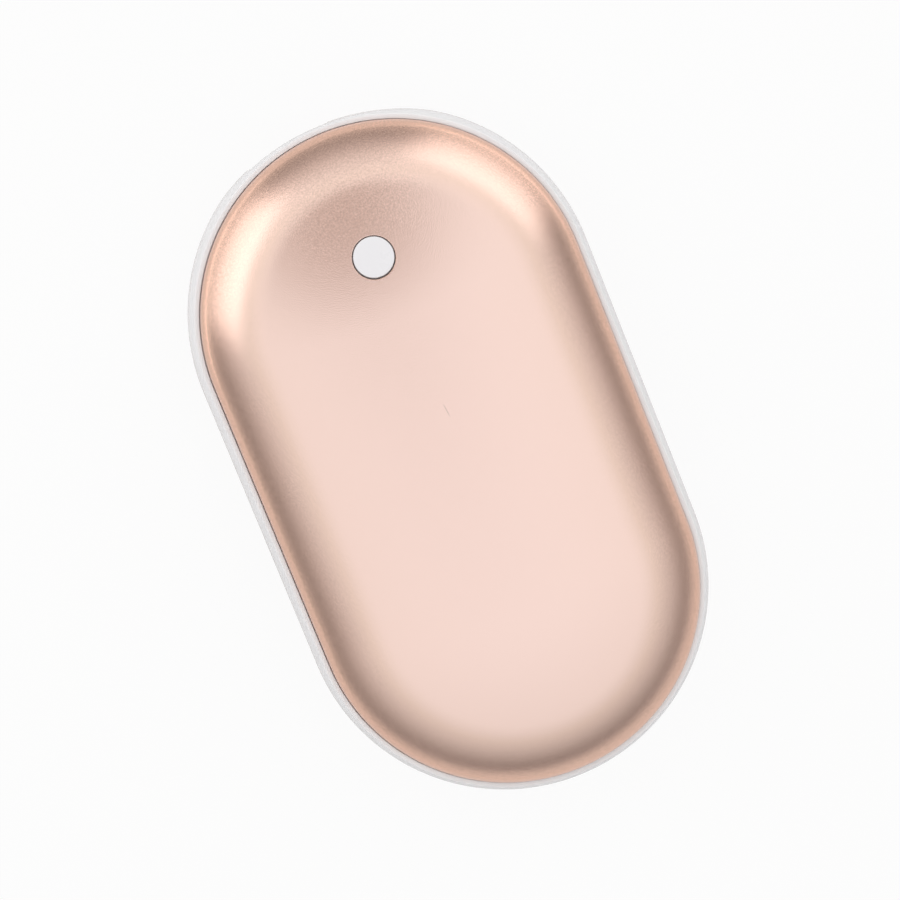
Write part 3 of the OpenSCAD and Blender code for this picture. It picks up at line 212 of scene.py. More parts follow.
def finish(slot, colour, roughness, drift=(0.02, 0.04, 0.04), grain=None, lines=None, **sockets):
    """A finish with drifting tone and gloss, and a relief of grain or of drawn lines.

    Drift is its size in metres and its swings of tone and gloss. Grain is its size and depth,
    and lines are their width, length and depth, in metres.
    """
    material = bpy.data.materials.new(slot + "_finish")
    material.use_nodes = True
    tree = material.node_tree
    shader = tree.nodes["Principled BSDF"]
    drift_size, tone, gloss = drift
    drifting = add_group(tree, "drift", {
        "Color": (*colour, 1), "Roughness": roughness, "Size": drift_size, "Tone": tone, "Gloss": gloss,
    })
    feed(tree, shader.inputs["Base Color"], drifting.outputs["Color"])
    feed(tree, shader.inputs["Roughness"], drifting.outputs["Roughness"])
    if grain:
        grain_size, depth = grain
        height = add_group(tree, "grain", {"Size": grain_size}).outputs["Height"]
    if lines:
        width, length, depth = lines
        height = add_group(tree, "lines", {"Width": width, "Length": length}).outputs["Height"]
    if grain or lines:
        bump = add_node(tree, "Bump", {"Strength": 1.0, "Distance": depth, "Height": height})
        feed(tree, shader.inputs["Normal"], bump.outputs[0])
    for name, value in sockets.items():
        shader.inputs[name.replace("_", " ")].default_value = value
    return material


# Painted shade: the metal's colour made warmer and darker by the slant, standing in for how its reflections
# look on the slopes; the slant is nought where level and one where upright
SLOPE_PAINTED_SHADE = [
    (0.0, (1, 1, 1)),
    (0.05, (1, 0.965, 0.9)),
    (0.1, (1, 0.945, 0.885)),
    (0.18, (1, 0.9, 0.825)),
    (0.32, (1, 0.85, 0.73)),
    (0.55, (1, 0.83, 0.7)),
    (0.9, (1, 0.92, 0.85)),
]


def set_ramp(ramp, stops):
    while len(ramp.elements) < len(stops):
        ramp.elements.new(0.5)
    for element, (place, colour) in zip(ramp.elements, stops):
        element.position = place
        element.color = (*colour, 1)


# A hair-fine scratch: its middle, its half width and half length, and a height below it, in metres
SCRATCH_PLACE = (0.0015, 0.0078, 0)
SCRATCH_HALF = (0.00012, 0.0012)
SCRATCH_ABOVE = 0.0134
# Its drift to the left on the way to the ports, the share of it that doesn't fade, and its darkness
SCRATCH_LEAN = 0.12
SCRATCH_CORE = 0.4
SCRATCH_DARKNESS = 0.13
# Fine speckle of the blasted surface: its size, its share of the colour, and how fast it comes with the slant
SPECKLE_SIZE = 0.00028
SPECKLE = 0.6
SPECKLE_RISE = 3.5
# Where the port end is speckled as well: from none to full, along Y and out from the middle, in metres
SPECKLED_ALONG = (0.031, 0.04)
SPECKLED_ACROSS = (0.013, 0.006)


def eased(tree, value, none, full, kind="LINEAR"):
    """Nought up to one value, one from another value on, and a ramp between them."""
    inputs = {"Value": value, "From Min": none, "From Max": full}
    return add_node(tree, "MapRange", inputs, interpolation_type=kind).outputs[0]


def scratch_mask(tree, place):
    """One on the scratch of the front face, and nought elsewhere."""
    moved = add_node(tree, "VectorMath", {0: place, 1: SCRATCH_PLACE}, operation="SUBTRACT").outputs[0]
    x, y, z = add_node(tree, "SeparateXYZ", {0: moved}).outputs
    leaning = maths(tree, "ADD", x, maths(tree, "MULTIPLY", y, SCRATCH_LEAN))
    mask = maths(tree, "GREATER_THAN", z, SCRATCH_ABOVE)
    for value, half in zip((leaning, y), SCRATCH_HALF):
        distance = maths(tree, "ABSOLUTE", value)
        near = eased(tree, distance, half, half * SCRATCH_CORE, "SMOOTHSTEP")
        mask = maths(tree, "MULTIPLY", mask, near)
    return mask


def speckle_level(tree, place, slant):
    """A fine speckle about one, which shows on the slopes and at the port end."""
    x, y, z = add_node(tree, "SeparateXYZ", {0: place}).outputs
    along = eased(tree, y, *SPECKLED_ALONG)
    across = eased(tree, maths(tree, "ABSOLUTE", x), *SPECKLED_ACROSS)
    at_end = maths(tree, "MULTIPLY", along, across)
    on_slope = maths(tree, "MINIMUM", maths(tree, "MULTIPLY", slant, SPECKLE_RISE), 1.0)
    strength = maths(tree, "MULTIPLY", maths(tree, "MAXIMUM", at_end, on_slope), SPECKLE)
    speckle = add_group(tree, "grain", {"Size": SPECKLE_SIZE}).outputs["Speckle"]
    swing = maths(tree, "MULTIPLY", maths(tree, "SUBTRACT", speckle, NOISE_MIDDLE), strength)
    return grey_level(tree, maths(tree, "ADD", swing, 1.0))


def blasted_shell():
    """Dyed blasted metal, with painted shade that makes its colour warmer and darker on the slopes."""
    material = finish("shell_metal", (0.88, 0.67, 0.605), 0.24, drift=(0.03, 0.012, 0.02),
                      grain=(0.00016, 0.000022), Metallic=1.0)
    tree = material.node_tree
    base = tree.nodes["Principled BSDF"].inputs["Base Color"]
    place = object_place(tree)
    colour = base.links[0].from_socket
    normal = add_node(tree, "TexCoord").outputs["Normal"]
    level = maths(tree, "ABSOLUTE", add_node(tree, "SeparateXYZ", {0: normal}).outputs["Z"])
    slant = maths(tree, "SUBTRACT", 1.0, level)
    # Painted shade: the ramp below deepens the colour on the slopes
    painted_slope_shade = add_node(tree, "ValToRGB", {0: slant})
    set_ramp(painted_slope_shade.color_ramp, SLOPE_PAINTED_SHADE)
    colour = blend_colours(tree, 1.0, colour, painted_slope_shade.outputs[0], "MULTIPLY")
    colour = blend_colours(tree, 1.0, colour, speckle_level(tree, place, slant), "MULTIPLY")
    share = maths(tree, "MULTIPLY", scratch_mask(tree, place), SCRATCH_DARKNESS)
    feed(tree, base, blend_colours(tree, share, colour, (0, 0, 0, 1)))
    return material


def white_band():
    return finish("band_plastic", (0.94, 0.925, 0.945), 0.12, drift=(0.02, 0.01, 0.03),
                  grain=(0.0015, 0.000001), Coat_Weight=0.3, Coat_Roughness=0.05,
                  Subsurface_Weight=0.5, Subsurface_Radius=(1, 1, 1), Subsurface_Scale=0.0012)


def white_button():
    return finish("button_plastic", (0.91, 0.9, 0.92), 0.28, drift=(0.004, 0.01, 0.04),
                  grain=(0.00025, 0.000001))


def textured_plastic(slot, colour, roughness=0.5):
    return finish(slot, colour, roughness, drift=(0.01, 0.04, 0.06), grain=(0.0003, 0.000006))


def smooth_plastic(slot, colour, roughness=0.3):
    return finish(slot, colour, roughness, drift=(0.006, 0.03, 0.05), grain=(0.0008, 0.000002))


def drawn_metal(slot, colour, roughness=0.3):
    return finish(slot, colour, roughness, drift=(0.004, 0.05, 0.06),
                  lines=(0.00008, 0.003, 0.000002), Metallic=1.0)


def soft_felt(slot, colour):
    return finish(slot, colour, 0.95, drift=(0.003, 0.1, 0.02), grain=(0.0002, 0.00008),
                  Sheen_Weight=0.4)


def clear_resin(slot, colour):
    return finish(slot, colour, 0.2, drift=(0.001, 0.04, 0.05), grain=(0.0003, 0.000002),
                  Transmission_Weight=0.3, IOR=1.5)


# The other finishes: how each is made, its colour, and its roughness where it isn't the usual one
OTHER_FINISHES = {
    "liner_plastic": (textured_plastic, (0.68, 0.66, 0.64)),
    "guide_plastic": (textured_plastic, (0.62, 0.6, 0.58)),
    "switch_plastic": (textured_plastic, (0.022, 0.022, 0.024)),
    "plunger_plastic": (textured_plastic, (0.015, 0.015, 0.016)),
    "tray_plastic": (textured_plastic, (0.05, 0.05, 0.055)),
    "white_tongue": (smooth_plastic, (0.78, 0.78, 0.76)),
    "black_tongue": (smooth_plastic, (0.02, 0.02, 0.022)),
    "chip_resin": (smooth_plastic, (0.018, 0.018, 0.02), 0.45),
    "ferrite": (textured_plastic, (0.06, 0.06, 0.062), 0.6),
    "capacitor_ceramic": (smooth_plastic, (0.42, 0.3, 0.19), 0.4),
    "resistor_ceramic": (smooth_plastic, (0.03, 0.03, 0.035), 0.4),
    "connector_nylon": (textured_plastic, (0.75, 0.73, 0.66), 0.45),
    "board_laminate": (smooth_plastic, (0.02, 0.16, 0.06), 0.35),
    "led_resin": (clear_resin, (0.85, 0.83, 0.7)),
    "thermistor_resin": (clear_resin, (0.03, 0.03, 0.04)),
    "heater_film": (smooth_plastic, (0.55, 0.26, 0.05), 0.25),
    "sleeve_film": (smooth_plastic, (0.07, 0.36, 0.38), 0.25),
    "insulator_paper": (textured_plastic, (0.55, 0.6, 0.5), 0.8),
    "red_lead": (smooth_plastic, (0.5, 0.03, 0.025), 0.4),
    "black_lead": (smooth_plastic, (0.02, 0.02, 0.02), 0.4),
    "sensor_lead": (smooth_plastic, (0.6, 0.5, 0.2), 0.4),
    "pad_felt": (soft_felt, (0.62, 0.6, 0.56)),
    "switch_steel": (drawn_metal, (0.6, 0.6, 0.62)),
    "screw_steel": (drawn_metal, (0.5, 0.5, 0.52), 0.35),
    "port_steel": (drawn_metal, (0.62, 0.62, 0.63)),
    "cell_steel": (drawn_metal, (0.6, 0.6, 0.61), 0.35),
    "nickel": (drawn_metal, (0.66, 0.63, 0.58), 0.3),
    "track_foil": (drawn_metal, (0.55, 0.5, 0.45), 0.4),
    "contact_gold": (drawn_metal, (0.83, 0.6, 0.25), 0.25),
}
FINISHES = {
    "shell_metal": blasted_shell(),
    "band_plastic": white_band(),
    "button_plastic": white_button(),
}
for slot, (make, *values) in OTHER_FINISHES.items():
    FINISHES[slot] = make(slot, *values)


def dress_frame():
    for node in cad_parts.values():
        for slot in node.material_slots:
            slot.material = FINISHES[slot.material.name.split(".")[0]]


# Casing sizes, in millimetres, as the frame has them
MM = 0.001
OUTLINE_R = 31
LENGTH = 106.4
THICKNESS = 27
# The port face: how far it lies inside the round end, how much larger its radius is, and its bulge's radius
PORT_FACE_FLAT = 0.6
PORT_FACE_EXTRA = 3.9
PORT_FACE_BULGE_R = 30
# The band: its bulge's radius, how far it stands over the seam, and its depth with the web
BULGE_R = 10.5
BAND_PROUD = 0.25
BAND_WEB = 4.1
# The shells: their gap to the band, how far in their edge lies, their wall, and how deep their rim goes
SEAM_GAP = 0.12
SEAM_INSET = 1.9
SHELL_WALL = 1
RIM_DEPTH = 0.9
# Their section's arcs: two radii, and the slopes in degrees at the seam and where the arcs meet
EDGE_R = 7.5
SHOULDER_R = 16
EDGE_SLOPE = 78
SHOULDER_SLOPE = 38
CROWN_SLOPE = 9
# How much the flat that it rests on takes off the back shell
REST_FLAT_DEPTH = 0.15

PORT_Y = LENGTH / 2
PORT_C = PORT_Y + PORT_FACE_FLAT - OUTLINE_R
FAR_C = PORT_Y - OUTLINE_R
SHELL_R = OUTLINE_R - SEAM_INSET
EDGE_CX = SHELL_R - EDGE_R * sin(radians(EDGE_SLOPE))
EDGE_CY = -EDGE_R * cos(radians(EDGE_SLOPE))
SHOULDER_CX = EDGE_CX - (SHOULDER_R - EDGE_R) * sin(radians(SHOULDER_SLOPE))
SHOULDER_CY = EDGE_CY - (SHOULDER_R - EDGE_R) * cos(radians(SHOULDER_SLOPE))
CROWN_R = SHOULDER_R + SHOULDER_CX / sin(radians(CROWN_SLOPE))
CROWN_CY = SHOULDER_CY - (CROWN_R - SHOULDER_R) * cos(radians(CROWN_SLOPE))
DOME_H = CROWN_CY + CROWN_R
SEAM_Z = (THICKNESS + REST_FLAT_DEPTH) / 2 - DOME_H
MID_Z = THICKNESS - DOME_H - SEAM_Z
# The arcs of a shell's section inside: centre across, centre up, radius, and the slope where each ends
INNER_ARCS = [
    (0, CROWN_CY, CROWN_R, CROWN_SLOPE),
    (SHOULDER_CX, SHOULDER_CY, SHOULDER_R, SHOULDER_SLOPE),
    (EDGE_CX, EDGE_CY, EDGE_R, 90),
]
# Outside, the shoulder runs on a little and then turns over a tighter edge
OUTER_SHOULDER_SLOPE = 45
OUTER_EDGE_R = 4.1
OUTER_EDGE_CX = SHOULDER_CX + (SHOULDER_R - OUTER_EDGE_R) * sin(radians(OUTER_SHOULDER_SLOPE))
OUTER_EDGE_CY = SHOULDER_CY + (SHOULDER_R - OUTER_EDGE_R) * cos(radians(OUTER_SHOULDER_SLOPE))
OUTER_ARCS = [
    (0, CROWN_CY, CROWN_R, CROWN_SLOPE),
    (SHOULDER_CX, SHOULDER_CY, SHOULDER_R, OUTER_SHOULDER_SLOPE),
    (OUTER_EDGE_CX, OUTER_EDGE_CY, OUTER_EDGE_R, 90),
]
LIP_R = EDGE_CX + EDGE_R + SEAM_GAP
WEB_R = OUTLINE_R - BAND_WEB
BAND_TOP = SEAM_Z + BAND_PROUD
REBATE_Z = SEAM_Z - RIM_DEPTH


# Meshes

# Edges that turn by more than this many degrees stay sharp
SHARP = 35
# Columns round the outline: their step in degrees on a round end, and their count along a straight side
END_STEP = 2
SIDE_STEPS = 30
END_TURNS = list(range(0, 180 + 1, END_STEP))
# Points round the button and its hole
ROUND_STEPS = 96


def steps(first, last, count):
    """The count values that follow first, evenly, up to last."""
    return [first + (last - first) * k / count for k in range(1, count + 1)]


class Skin:
    """The points, in millimetres, and the faces of one piece."""

    def __init__(self):
        self.points = []
        self.faces = []

    def ring(self, points):
        first = len(self.points)
        self.points += points
        return list(range(first, len(self.points)))

    def slide(self, right):
        self.points = [(x + right, y, z) for x, y, z in self.points]

    def bridge(self, a, b):
        for k in range(len(a)):
            after = (k + 1) % len(a)
            self.faces.append((a[k], a[after], b[after], b[k]))

    def open_up(self, inside, first_face=0):
        """Takes out the faces that have a corner inside, and gives the loop round them."""
        edges = {}
        kept = self.faces[:first_face]
        for face in self.faces[first_face:]:
            if any(inside(self.points[i]) for i in face):
                for k, a in enumerate(face):
                    edge = frozenset((a, face[k - 1]))
                    edges[edge] = edges.get(edge, 0) + 1
            else:
                kept.append(face)
        self.faces = kept
        beside = {}
        for edge, uses in edges.items():
            if uses == 1:
                a, b = edge
                beside.setdefault(a, []).append(b)
                beside.setdefault(b, []).append(a)
        loop = [next(iter(beside))]
        before = None
        while True:
            a, b = beside[loop[-1]]
            step = b if a == before else a
            if step == loop[0]:
                return loop
            before = loop[-1]
            loop.append(step)

    def zip_up(self, a, b, flat, centre):
        """Triangles between two loops round one centre that differ in their number of points."""
        a, turns_a = self.turned(a, flat, centre)
        b, turns_b = self.turned(b, flat, centre)
        i = j = 0
        while i < len(a) or j < len(b):
            on_a = j == len(b) or (i < len(a) and turns_a[i + 1] < turns_b[j + 1])
            if on_a:
                self.faces.append((a[i], a[(i + 1) % len(a)], b[j % len(b)]))
                i += 1
            else:
                self.faces.append((b[(j + 1) % len(b)], b[j], a[i % len(a)]))
                j += 1

    def turned(self, loop, flat, centre):
        """The loop counter-clockwise from its point nearest to the first axis, with the turns."""
        places = [Vector(flat(self.points[i])) - Vector(centre) for i in loop]
        area = sum(p.cross(places[k - 1]) for k, p in enumerate(places))
        if area > 0:
            loop, places = loop[::-1], places[::-1]
        turns = [atan2(p.y, p.x) for p in places]
        start = min(range(len(turns)), key=lambda k: abs(turns[k]))
        loop = loop[start:] + loop[:start]
        turns = turns[start:] + turns[:start]
        unrolled = turns[:1]
        for turn in turns[1:]:
            change = (turn - unrolled[-1] + pi) % (2 * pi) - pi
            unrolled.append(unrolled[-1] + change)
        return loop, unrolled + [unrolled[0] + 2 * pi]

    def piece(self, name, slot, node, body):
        """Makes the object, hides the node that it stands for, and hangs it on its body."""
        mesh = bpy.data.meshes.new(name)
        mesh.from_pydata([Vector(p) * MM for p in self.points], [], self.faces)
        whole = bmesh.new()
        whole.from_mesh(mesh)
        bmesh.ops.recalc_face_normals(whole, faces=whole.faces)
        whole.to_mesh(mesh)
        whole.free()
        mesh.shade_smooth()
        mesh.set_sharp_from_angle(angle=radians(SHARP))
        mesh.materials.append(FINISHES[slot])
        piece = bpy.data.objects.new(name, mesh)
        bpy.context.scene.collection.objects.link(piece)
        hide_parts(node)
        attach(piece, body)
        return piece


def plan_columns(port_turns=END_TURNS):
    """Places round the outline: the spine point that each is drawn from, and its direction."""
    sides = [PORT_C - (PORT_C + FAR_C) * k / SIDE_STEPS for k in range(1, SIDE_STEPS)]
    columns = [(PORT_C, turn) for turn in port_turns]
    columns += [(y, 180) for y in sides]
    columns += [(-FAR_C, 180 + turn) for turn in END_TURNS]
    columns += [(y, 360) for y in reversed(sides)]
    return columns


def on_plan(column, out, z):
    y, turn = column
    return (out * cos(radians(turn)), y + out * sin(radians(turn)), z)


# Openings

# Steps over an opening's rounded edge, and how far beyond the edge the new surface starts
EDGE_STEPS = 4
MOUTH_START = 0.1


def flat_top(point):
    return point[0], point[1]


def flat_front(point):
    return point[0], point[2]


def circle_outline(centre, radius, count):
    """Points of an opening's outline, each with its outward direction."""
    turns = [2 * pi * k / count for k in range(count)]
    return [(centre[0] + radius * cos(t), centre[1] + radius * sin(t), cos(t), sin(t)) for t in turns]


def rounded_outline(centre, corners, radius, corner_steps=5, spacing=0.5):
    """An opening's outline round a polygon's corners, with the outward directions."""
    outline = []
    places = [Vector(c) + Vector(centre) for c in corners]
    for k, corner in enumerate(places):
        before, after = places[k - 1], places[(k + 1) % len(places)]
        coming, going = (corner - before).normalized(), (after - corner).normalized()
        turn = coming.angle_signed(going)
        reach = radius * tan(abs(turn) / 2)
        outward = Vector((coming.y, -coming.x))
        heart = corner - coming * reach - outward * radius
        first = atan2(outward.y, outward.x)
        for step in [0] + steps(0, abs(turn), corner_steps):
            way = Vector((cos(first + step), sin(first + step)))
            outline.append((*(heart + way * radius), *way))
        start = corner + going * reach
        beyond = places[(k + 2) % len(places)]
        next_turn = abs(going.angle_signed((beyond - after).normalized()))
        stop = after - going * radius * tan(next_turn / 2)
        count = ceil((stop - start).length / spacing)
        way = Vector((going.y, -going.x))
        outline += [(*start.lerp(stop, n / count), *way) for n in range(1, count)]
    return outline


def rounded_mouth(skin, loop, outline, flat, centre, place, edge):
    """Closes a surface down to an opening over a rounded edge; gives the ring inside it."""
    def ring(out, depth):
        return skin.ring([place(x + out * nx, y + out * ny, depth) for x, y, nx, ny in outline])

    last = ring(edge + MOUTH_START, 0)
    skin.zip_up(loop, last, flat, centre)
    for turn in [0] + steps(0, pi / 2, EDGE_STEPS):
        now = ring(edge * (1 - sin(turn)), edge * (1 - cos(turn)))
        skin.bridge(last, now)
        last = now
    return last


# Shells

# Points along the crown, the shoulder and the edge of a shell's section
SECTION_STEPS = (20, 16, 18)


def arcs_at(inset):
    return INNER_ARCS if inset else OUTER_ARCS


def section_point(slope, inset):
    """Distance from the spine and height over the seam where the section has this slope."""
    for across, up, radius, last in arcs_at(inset):
        if slope <= last:
            bend = radius - inset
            return across + bend * sin(radians(slope)), up + bend * cos(radians(slope))


def dome_height(out, inset):
    for across, up, radius, last in arcs_at(inset):
        bend = radius - inset
        if out <= across + bend * sin(radians(last)):
            return up + sqrt(bend ** 2 - (out - across) ** 2)


def spine_distance(x, y):
    if y > PORT_C:
        return hypot(x, y - PORT_C)
    if y < -FAR_C:
        return hypot(x, y + FAR_C)
    return abs(x)


def shell_z(x, y, inset, side):
    return MID_Z + side * (SEAM_Z + dome_height(spine_distance(x, y), inset))


def section_points(inset):
    """The section from near the spine down to the rim in the band's rebate."""
    ends = [last for *_, last in arcs_at(inset)]
    if inset:
        ends[-1] = degrees(acos((-RIM_DEPTH - EDGE_CY) / (EDGE_R - inset)))
    slopes = []
    for first, last, count in zip([0] + ends, ends, SECTION_STEPS):
        slopes += steps(first, last, count)
    points = [section_point(slope, inset) for slope in slopes]
    if not inset:
        points.append((points[-1][0], -RIM_DEPTH))
    return points


def resting(z):
    """The back shell is cut flat at the face that it rests on."""
    return max(z, 0)


def dome_surface(skin, inset, side):
    """One face of a shell's wall, from its spine to its rim; gives the rim's ring."""
    columns = plan_columns()
    spine = {}
    for y in {column[0] for column in columns}:
        [spine[y]] = skin.ring([(0, y, resting(shell_z(0, y, inset, side)))])
    last = None
    for out, height in section_points(inset):
        z = resting(MID_Z + side * (SEAM_Z + height))
        now = skin.ring([on_plan(column, out, z) for column in columns])
        if last:
            skin.bridge(last, now)
        else:
            for k, column in enumerate(columns):
                after = (k + 1) % len(columns)
                middle = (spine[columns[after][0]], spine[column[0]])
                face = (now[k], now[after]) + middle
                skin.faces.append(face[:3] if middle[0] == middle[1] else face)
        last = now
    return last


BUTTON_HOLE_R = 3.2
HOLE_EDGE_ROUND = 0.05
# How far round the hole the surface is taken out and made anew
HOLE_CLEARING = 0.45
# How far the front shell sits to the right in its seam
FRONT_SETTLED = 0.055


def button_centre():
    low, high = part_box("button_cap")
    return (low[0] + high[0]) / 2 / MM, (low[1] + high[1]) / 2 / MM


def front_shell():
    skin = Skin()
    centre = button_centre()
    outline = circle_outline(centre, BUTTON_HOLE_R, ROUND_STEPS)

    def near(point):
        return hypot(point[0] - centre[0], point[1] - centre[1]) < BUTTON_HOLE_R + HOLE_CLEARING

    rims, mouths = [], []
    for inset, way in ((0, -1), (SHELL_WALL, 1)):
        first_face = len(skin.faces)
        rims.append(dome_surface(skin, inset, 1))
        loop = skin.open_up(near, first_face)

        def place(x, y, depth, inset=inset, way=way):
            return (x, y, shell_z(x, y, inset, 1) + way * depth)

        mouths.append(rounded_mouth(skin, loop, outline, flat_top, centre, place, HOLE_EDGE_ROUND))
    skin.bridge(*mouths)
    skin.bridge(*rims)
    skin.slide(FRONT_SETTLED)
    skin.piece("front_shell_skin", "shell_metal", "front_shell", "casing")


def back_shell():
    skin = Skin()
    rims = [dome_surface(skin, inset, -1) for inset in (0, SHELL_WALL)]
    skin.bridge(*rims)
    skin.piece("back_shell_skin", "shell_metal", "back_shell", "casing")


# Band

LIP_ROUND = 0.2
LIP_INNER_ROUND = 0.06
# Where the lip's inner wall, flared towards the shell, reaches its top
LIP_TOP_R = 29.12
# How softly the port face runs into the round end
FACE_BLEND = 0.15
BULGE_STEPS = 14
LIP_STEPS = 4
WEB_STEPS = 10
# The ports' openings: their rounded edges, and how far round them the surface is made anew
MOUTH_ROUND = 0.25
INNER_MOUTH_ROUND = 0.1
MOUTH_CLEARING = 0.25


def draw_in(height, radius):
    """How far a bulge of this radius has drawn in at a height over the middle."""
    return radius - sqrt(radius ** 2 - height ** 2)


def band_distance(column, height):
    """From the column's spine point to the band's outside, with the port face blended in."""
    y, turn = column
    side = OUTLINE_R - draw_in(height, BULGE_R)
    if y < PORT_C or turn > 180:
        return side
    behind = PORT_FACE_EXTRA + PORT_FACE_FLAT
    face_r = OUTLINE_R + PORT_FACE_EXTRA - draw_in(height, PORT_FACE_BULGE_R)
    face = sqrt(face_r ** 2 - (behind * cos(radians(turn))) ** 2) - behind * sin(radians(turn))
    return (side + face - sqrt((side - face) ** 2 + FACE_BLEND ** 2)) / 2


def band_half(column):
    """Half of the band's section, from the middle of its bulge over the lip to the web."""
    centre = OUTLINE_R - BULGE_R
    up = BAND_TOP - LIP_ROUND
    across = centre + sqrt((BULGE_R - LIP_ROUND) ** 2 - up ** 2)
    leave = atan2(up, across - centre)
    heights = [BULGE_R * sin(t) for t in [0] + steps(0, leave, BULGE_STEPS)]
    half = [(band_distance(column, height), height) for height in heights]
    across += half[-1][0] - centre - BULGE_R * cos(leave)
    half += [(across + LIP_ROUND * cos(t), up + LIP_ROUND * sin(t))
             for t in steps(leave, pi / 2, LIP_STEPS)]
    across, up = LIP_TOP_R + LIP_INNER_ROUND, BAND_TOP - LIP_INNER_ROUND
    half += [(across - LIP_INNER_ROUND * sin(t), up + LIP_INNER_ROUND * cos(t))
             for t in [0] + steps(0, pi / 2, LIP_STEPS)]
    half += [(LIP_R, REBATE_Z), (WEB_R, REBATE_Z)]
    half += [(WEB_R, height) for height in steps(REBATE_Z, 0, WEB_STEPS)]
    return half


OUTLET_CENTRE = (-5.4, MID_Z)
OUTLET_SIZE = (13.4, 6)
OUTLET_ROUND = 0.75
INLET_DROP = 1.525
INLET_CENTRE = (8.3, MID_Z - INLET_DROP)
INLET_SIZE = (7.8, 2.95)
INLET_CHAMFER = 0.9
INLET_ROUND = 0.15


def outlet_outline():
    w, h = OUTLET_SIZE[0] / 2, OUTLET_SIZE[1] / 2
    return rounded_outline(OUTLET_CENTRE, [(-w, -h), (w, -h), (w, h), (-w, h)], OUTLET_ROUND)


def inlet_outline():
    w, h = INLET_SIZE[0] / 2, INLET_SIZE[1] / 2
    c = INLET_CHAMFER
    corners = [(c - w, -h), (w - c, -h), (w, c - h), (w, h), (-w, h), (-w, c - h)]
    return rounded_outline(INLET_CENTRE, corners, INLET_ROUND)


# Passes in which the place on the port face is closed in on
FACE_PASSES = 8


def face_y(x, z):
    """Where the band's outer surface is at a place on the port face."""
    turn = 90
    for _ in range(FACE_PASSES):
        out = band_distance((PORT_C, turn), z - MID_Z)
        turn = degrees(acos(x / out))
    return PORT_C + out * sin(radians(turn))


def wall_y(x):
    return PORT_C + sqrt(WEB_R ** 2 - x ** 2)


def port_opening(skin, centre, outline):
    middle = (WEB_R + LIP_R) / 2

    def beyond(point):
        return max((point[0] - x) * nx + (point[2] - z) * nz for x, z, nx, nz in outline)

    def near(point, outside):
        out = hypot(point[0], point[1] - PORT_C)
        return point[1] > PORT_C and (out > middle) == outside

    mouths = []
    for outside, edge in ((True, MOUTH_ROUND), (False, INNER_MOUTH_ROUND)):
        loop = skin.open_up(lambda p: near(p, outside) and beyond(p) < edge + MOUTH_CLEARING)

        def place(x, z, depth, outside=outside):
            y = face_y(x, z) - depth if outside else wall_y(x) + depth
            return (x, y, z)

        mouths.append(rounded_mouth(skin, loop, outline, flat_front, centre, place, edge))
    skin.bridge(*mouths)


# Round the port end the columns stand closer from one turn to another, where the ports are
PORTS_FROM = 64
PORTS_TO = 116
PORT_STEP = 0.5
CLOSE_COLUMNS = round((PORTS_TO - PORTS_FROM) / PORT_STEP) + 1
PORT_TURNS = [turn for turn in END_TURNS if turn < PORTS_FROM]
PORT_TURNS += steps(PORTS_FROM - PORT_STEP, PORTS_TO, CLOSE_COLUMNS)
PORT_TURNS += [turn for turn in END_TURNS if turn > PORTS_TO]


def band():
    skin = Skin()
    loops = []
    for column in plan_columns(PORT_TURNS):
        half = band_half(column)
        section = half + [(out, -height) for out, height in reversed(half[1:-1])]
        loops.append(skin.ring([on_plan(column, out, MID_Z + height) for out, height in section]))
    for k, loop in enumerate(loops):
        skin.bridge(loops[k - 1], loop)
    port_opening(skin, OUTLET_CENTRE, outlet_outline())
    port_opening(skin, INLET_CENTRE, inlet_outline())
    piece = skin.piece("middle_frame_body", "band_plastic", "middle_frame", "casing")
    join_solid(piece, screw_bosses(), "UNION")
    join_solid(piece, pilot_holes_and_notches(), "DIFFERENCE")


# Bosses and notches inside the band

# How far inside the web a boss has its middle, and its radius
BOSS_IN = 4.6
BOSS_R = 2.3
# Half the width of the bar from a boss to the web, and how far it goes into the web
BAR_HALF_W = 1
BAR_SUNK = 0.5
# Heights of the bosses' tops, and of their lower ends over the board and over the tray's plate
BOSS_TOP = MID_Z + 2
BOARD_TOP = MID_Z - 2.85
PLATE_TOP = MID_Z - 3.4
PILOT_R = 0.95
PILOT_DEPTH = 3.8
NOTCH_HALF_W = 2.7
NOTCH_DEPTH = 0.65
NOTCH_FROM = 0.7
NOTCH_TO = 2.3
BOARD_BOSS_TURNS = [16, 47.03, 132.97, 164]
TRAY_BOSS_Y = [14.5, -13]
HOOK_Y = [21.5, 0.75, -20.5]
FAR_HOOK_TURN = 15
# How far a cut starts before the surface that it goes into
CUT_MARGIN = 1
ROD_STEPS = 48
BOARD_STATIONS = [(PORT_C, turn, BOARD_TOP) for turn in BOARD_BOSS_TURNS]
TRAY_STATIONS = [(y, turn, PLATE_TOP) for y in TRAY_BOSS_Y for turn in (0, 180)]
TRAY_STATIONS.append((-FAR_C, 270, PLATE_TOP))
HOOK_STATIONS = [(y, turn) for y in HOOK_Y for turn in (0, 180)]
HOOK_STATIONS += [(-FAR_C, 270 - FAR_HOOK_TURN), (-FAR_C, 270 + FAR_HOOK_TURN)]


def at_station(y, turn):
    return Matrix.Translation((0, y, 0)) @ Matrix.Rotation(radians(turn), 4, "Z")


def add_bar(whole, station, low, high):
    """A box between two corners, drawn along +X at a station."""
    low, high = Vector(low), Vector(high)
    middle = Matrix.Translation((low + high) / 2) @ Matrix.Diagonal((*(high - low), 1))
    bmesh.ops.create_cube(whole, size=1, matrix=station @ middle)


def add_rod(whole, station, out, radius, low, high):
    middle = Matrix.Translation((out, 0, (low + high) / 2))
    bmesh.ops.create_cone(whole, cap_ends=True, segments=ROD_STEPS, radius1=radius, radius2=radius,
                          depth=high - low, matrix=station @ middle)


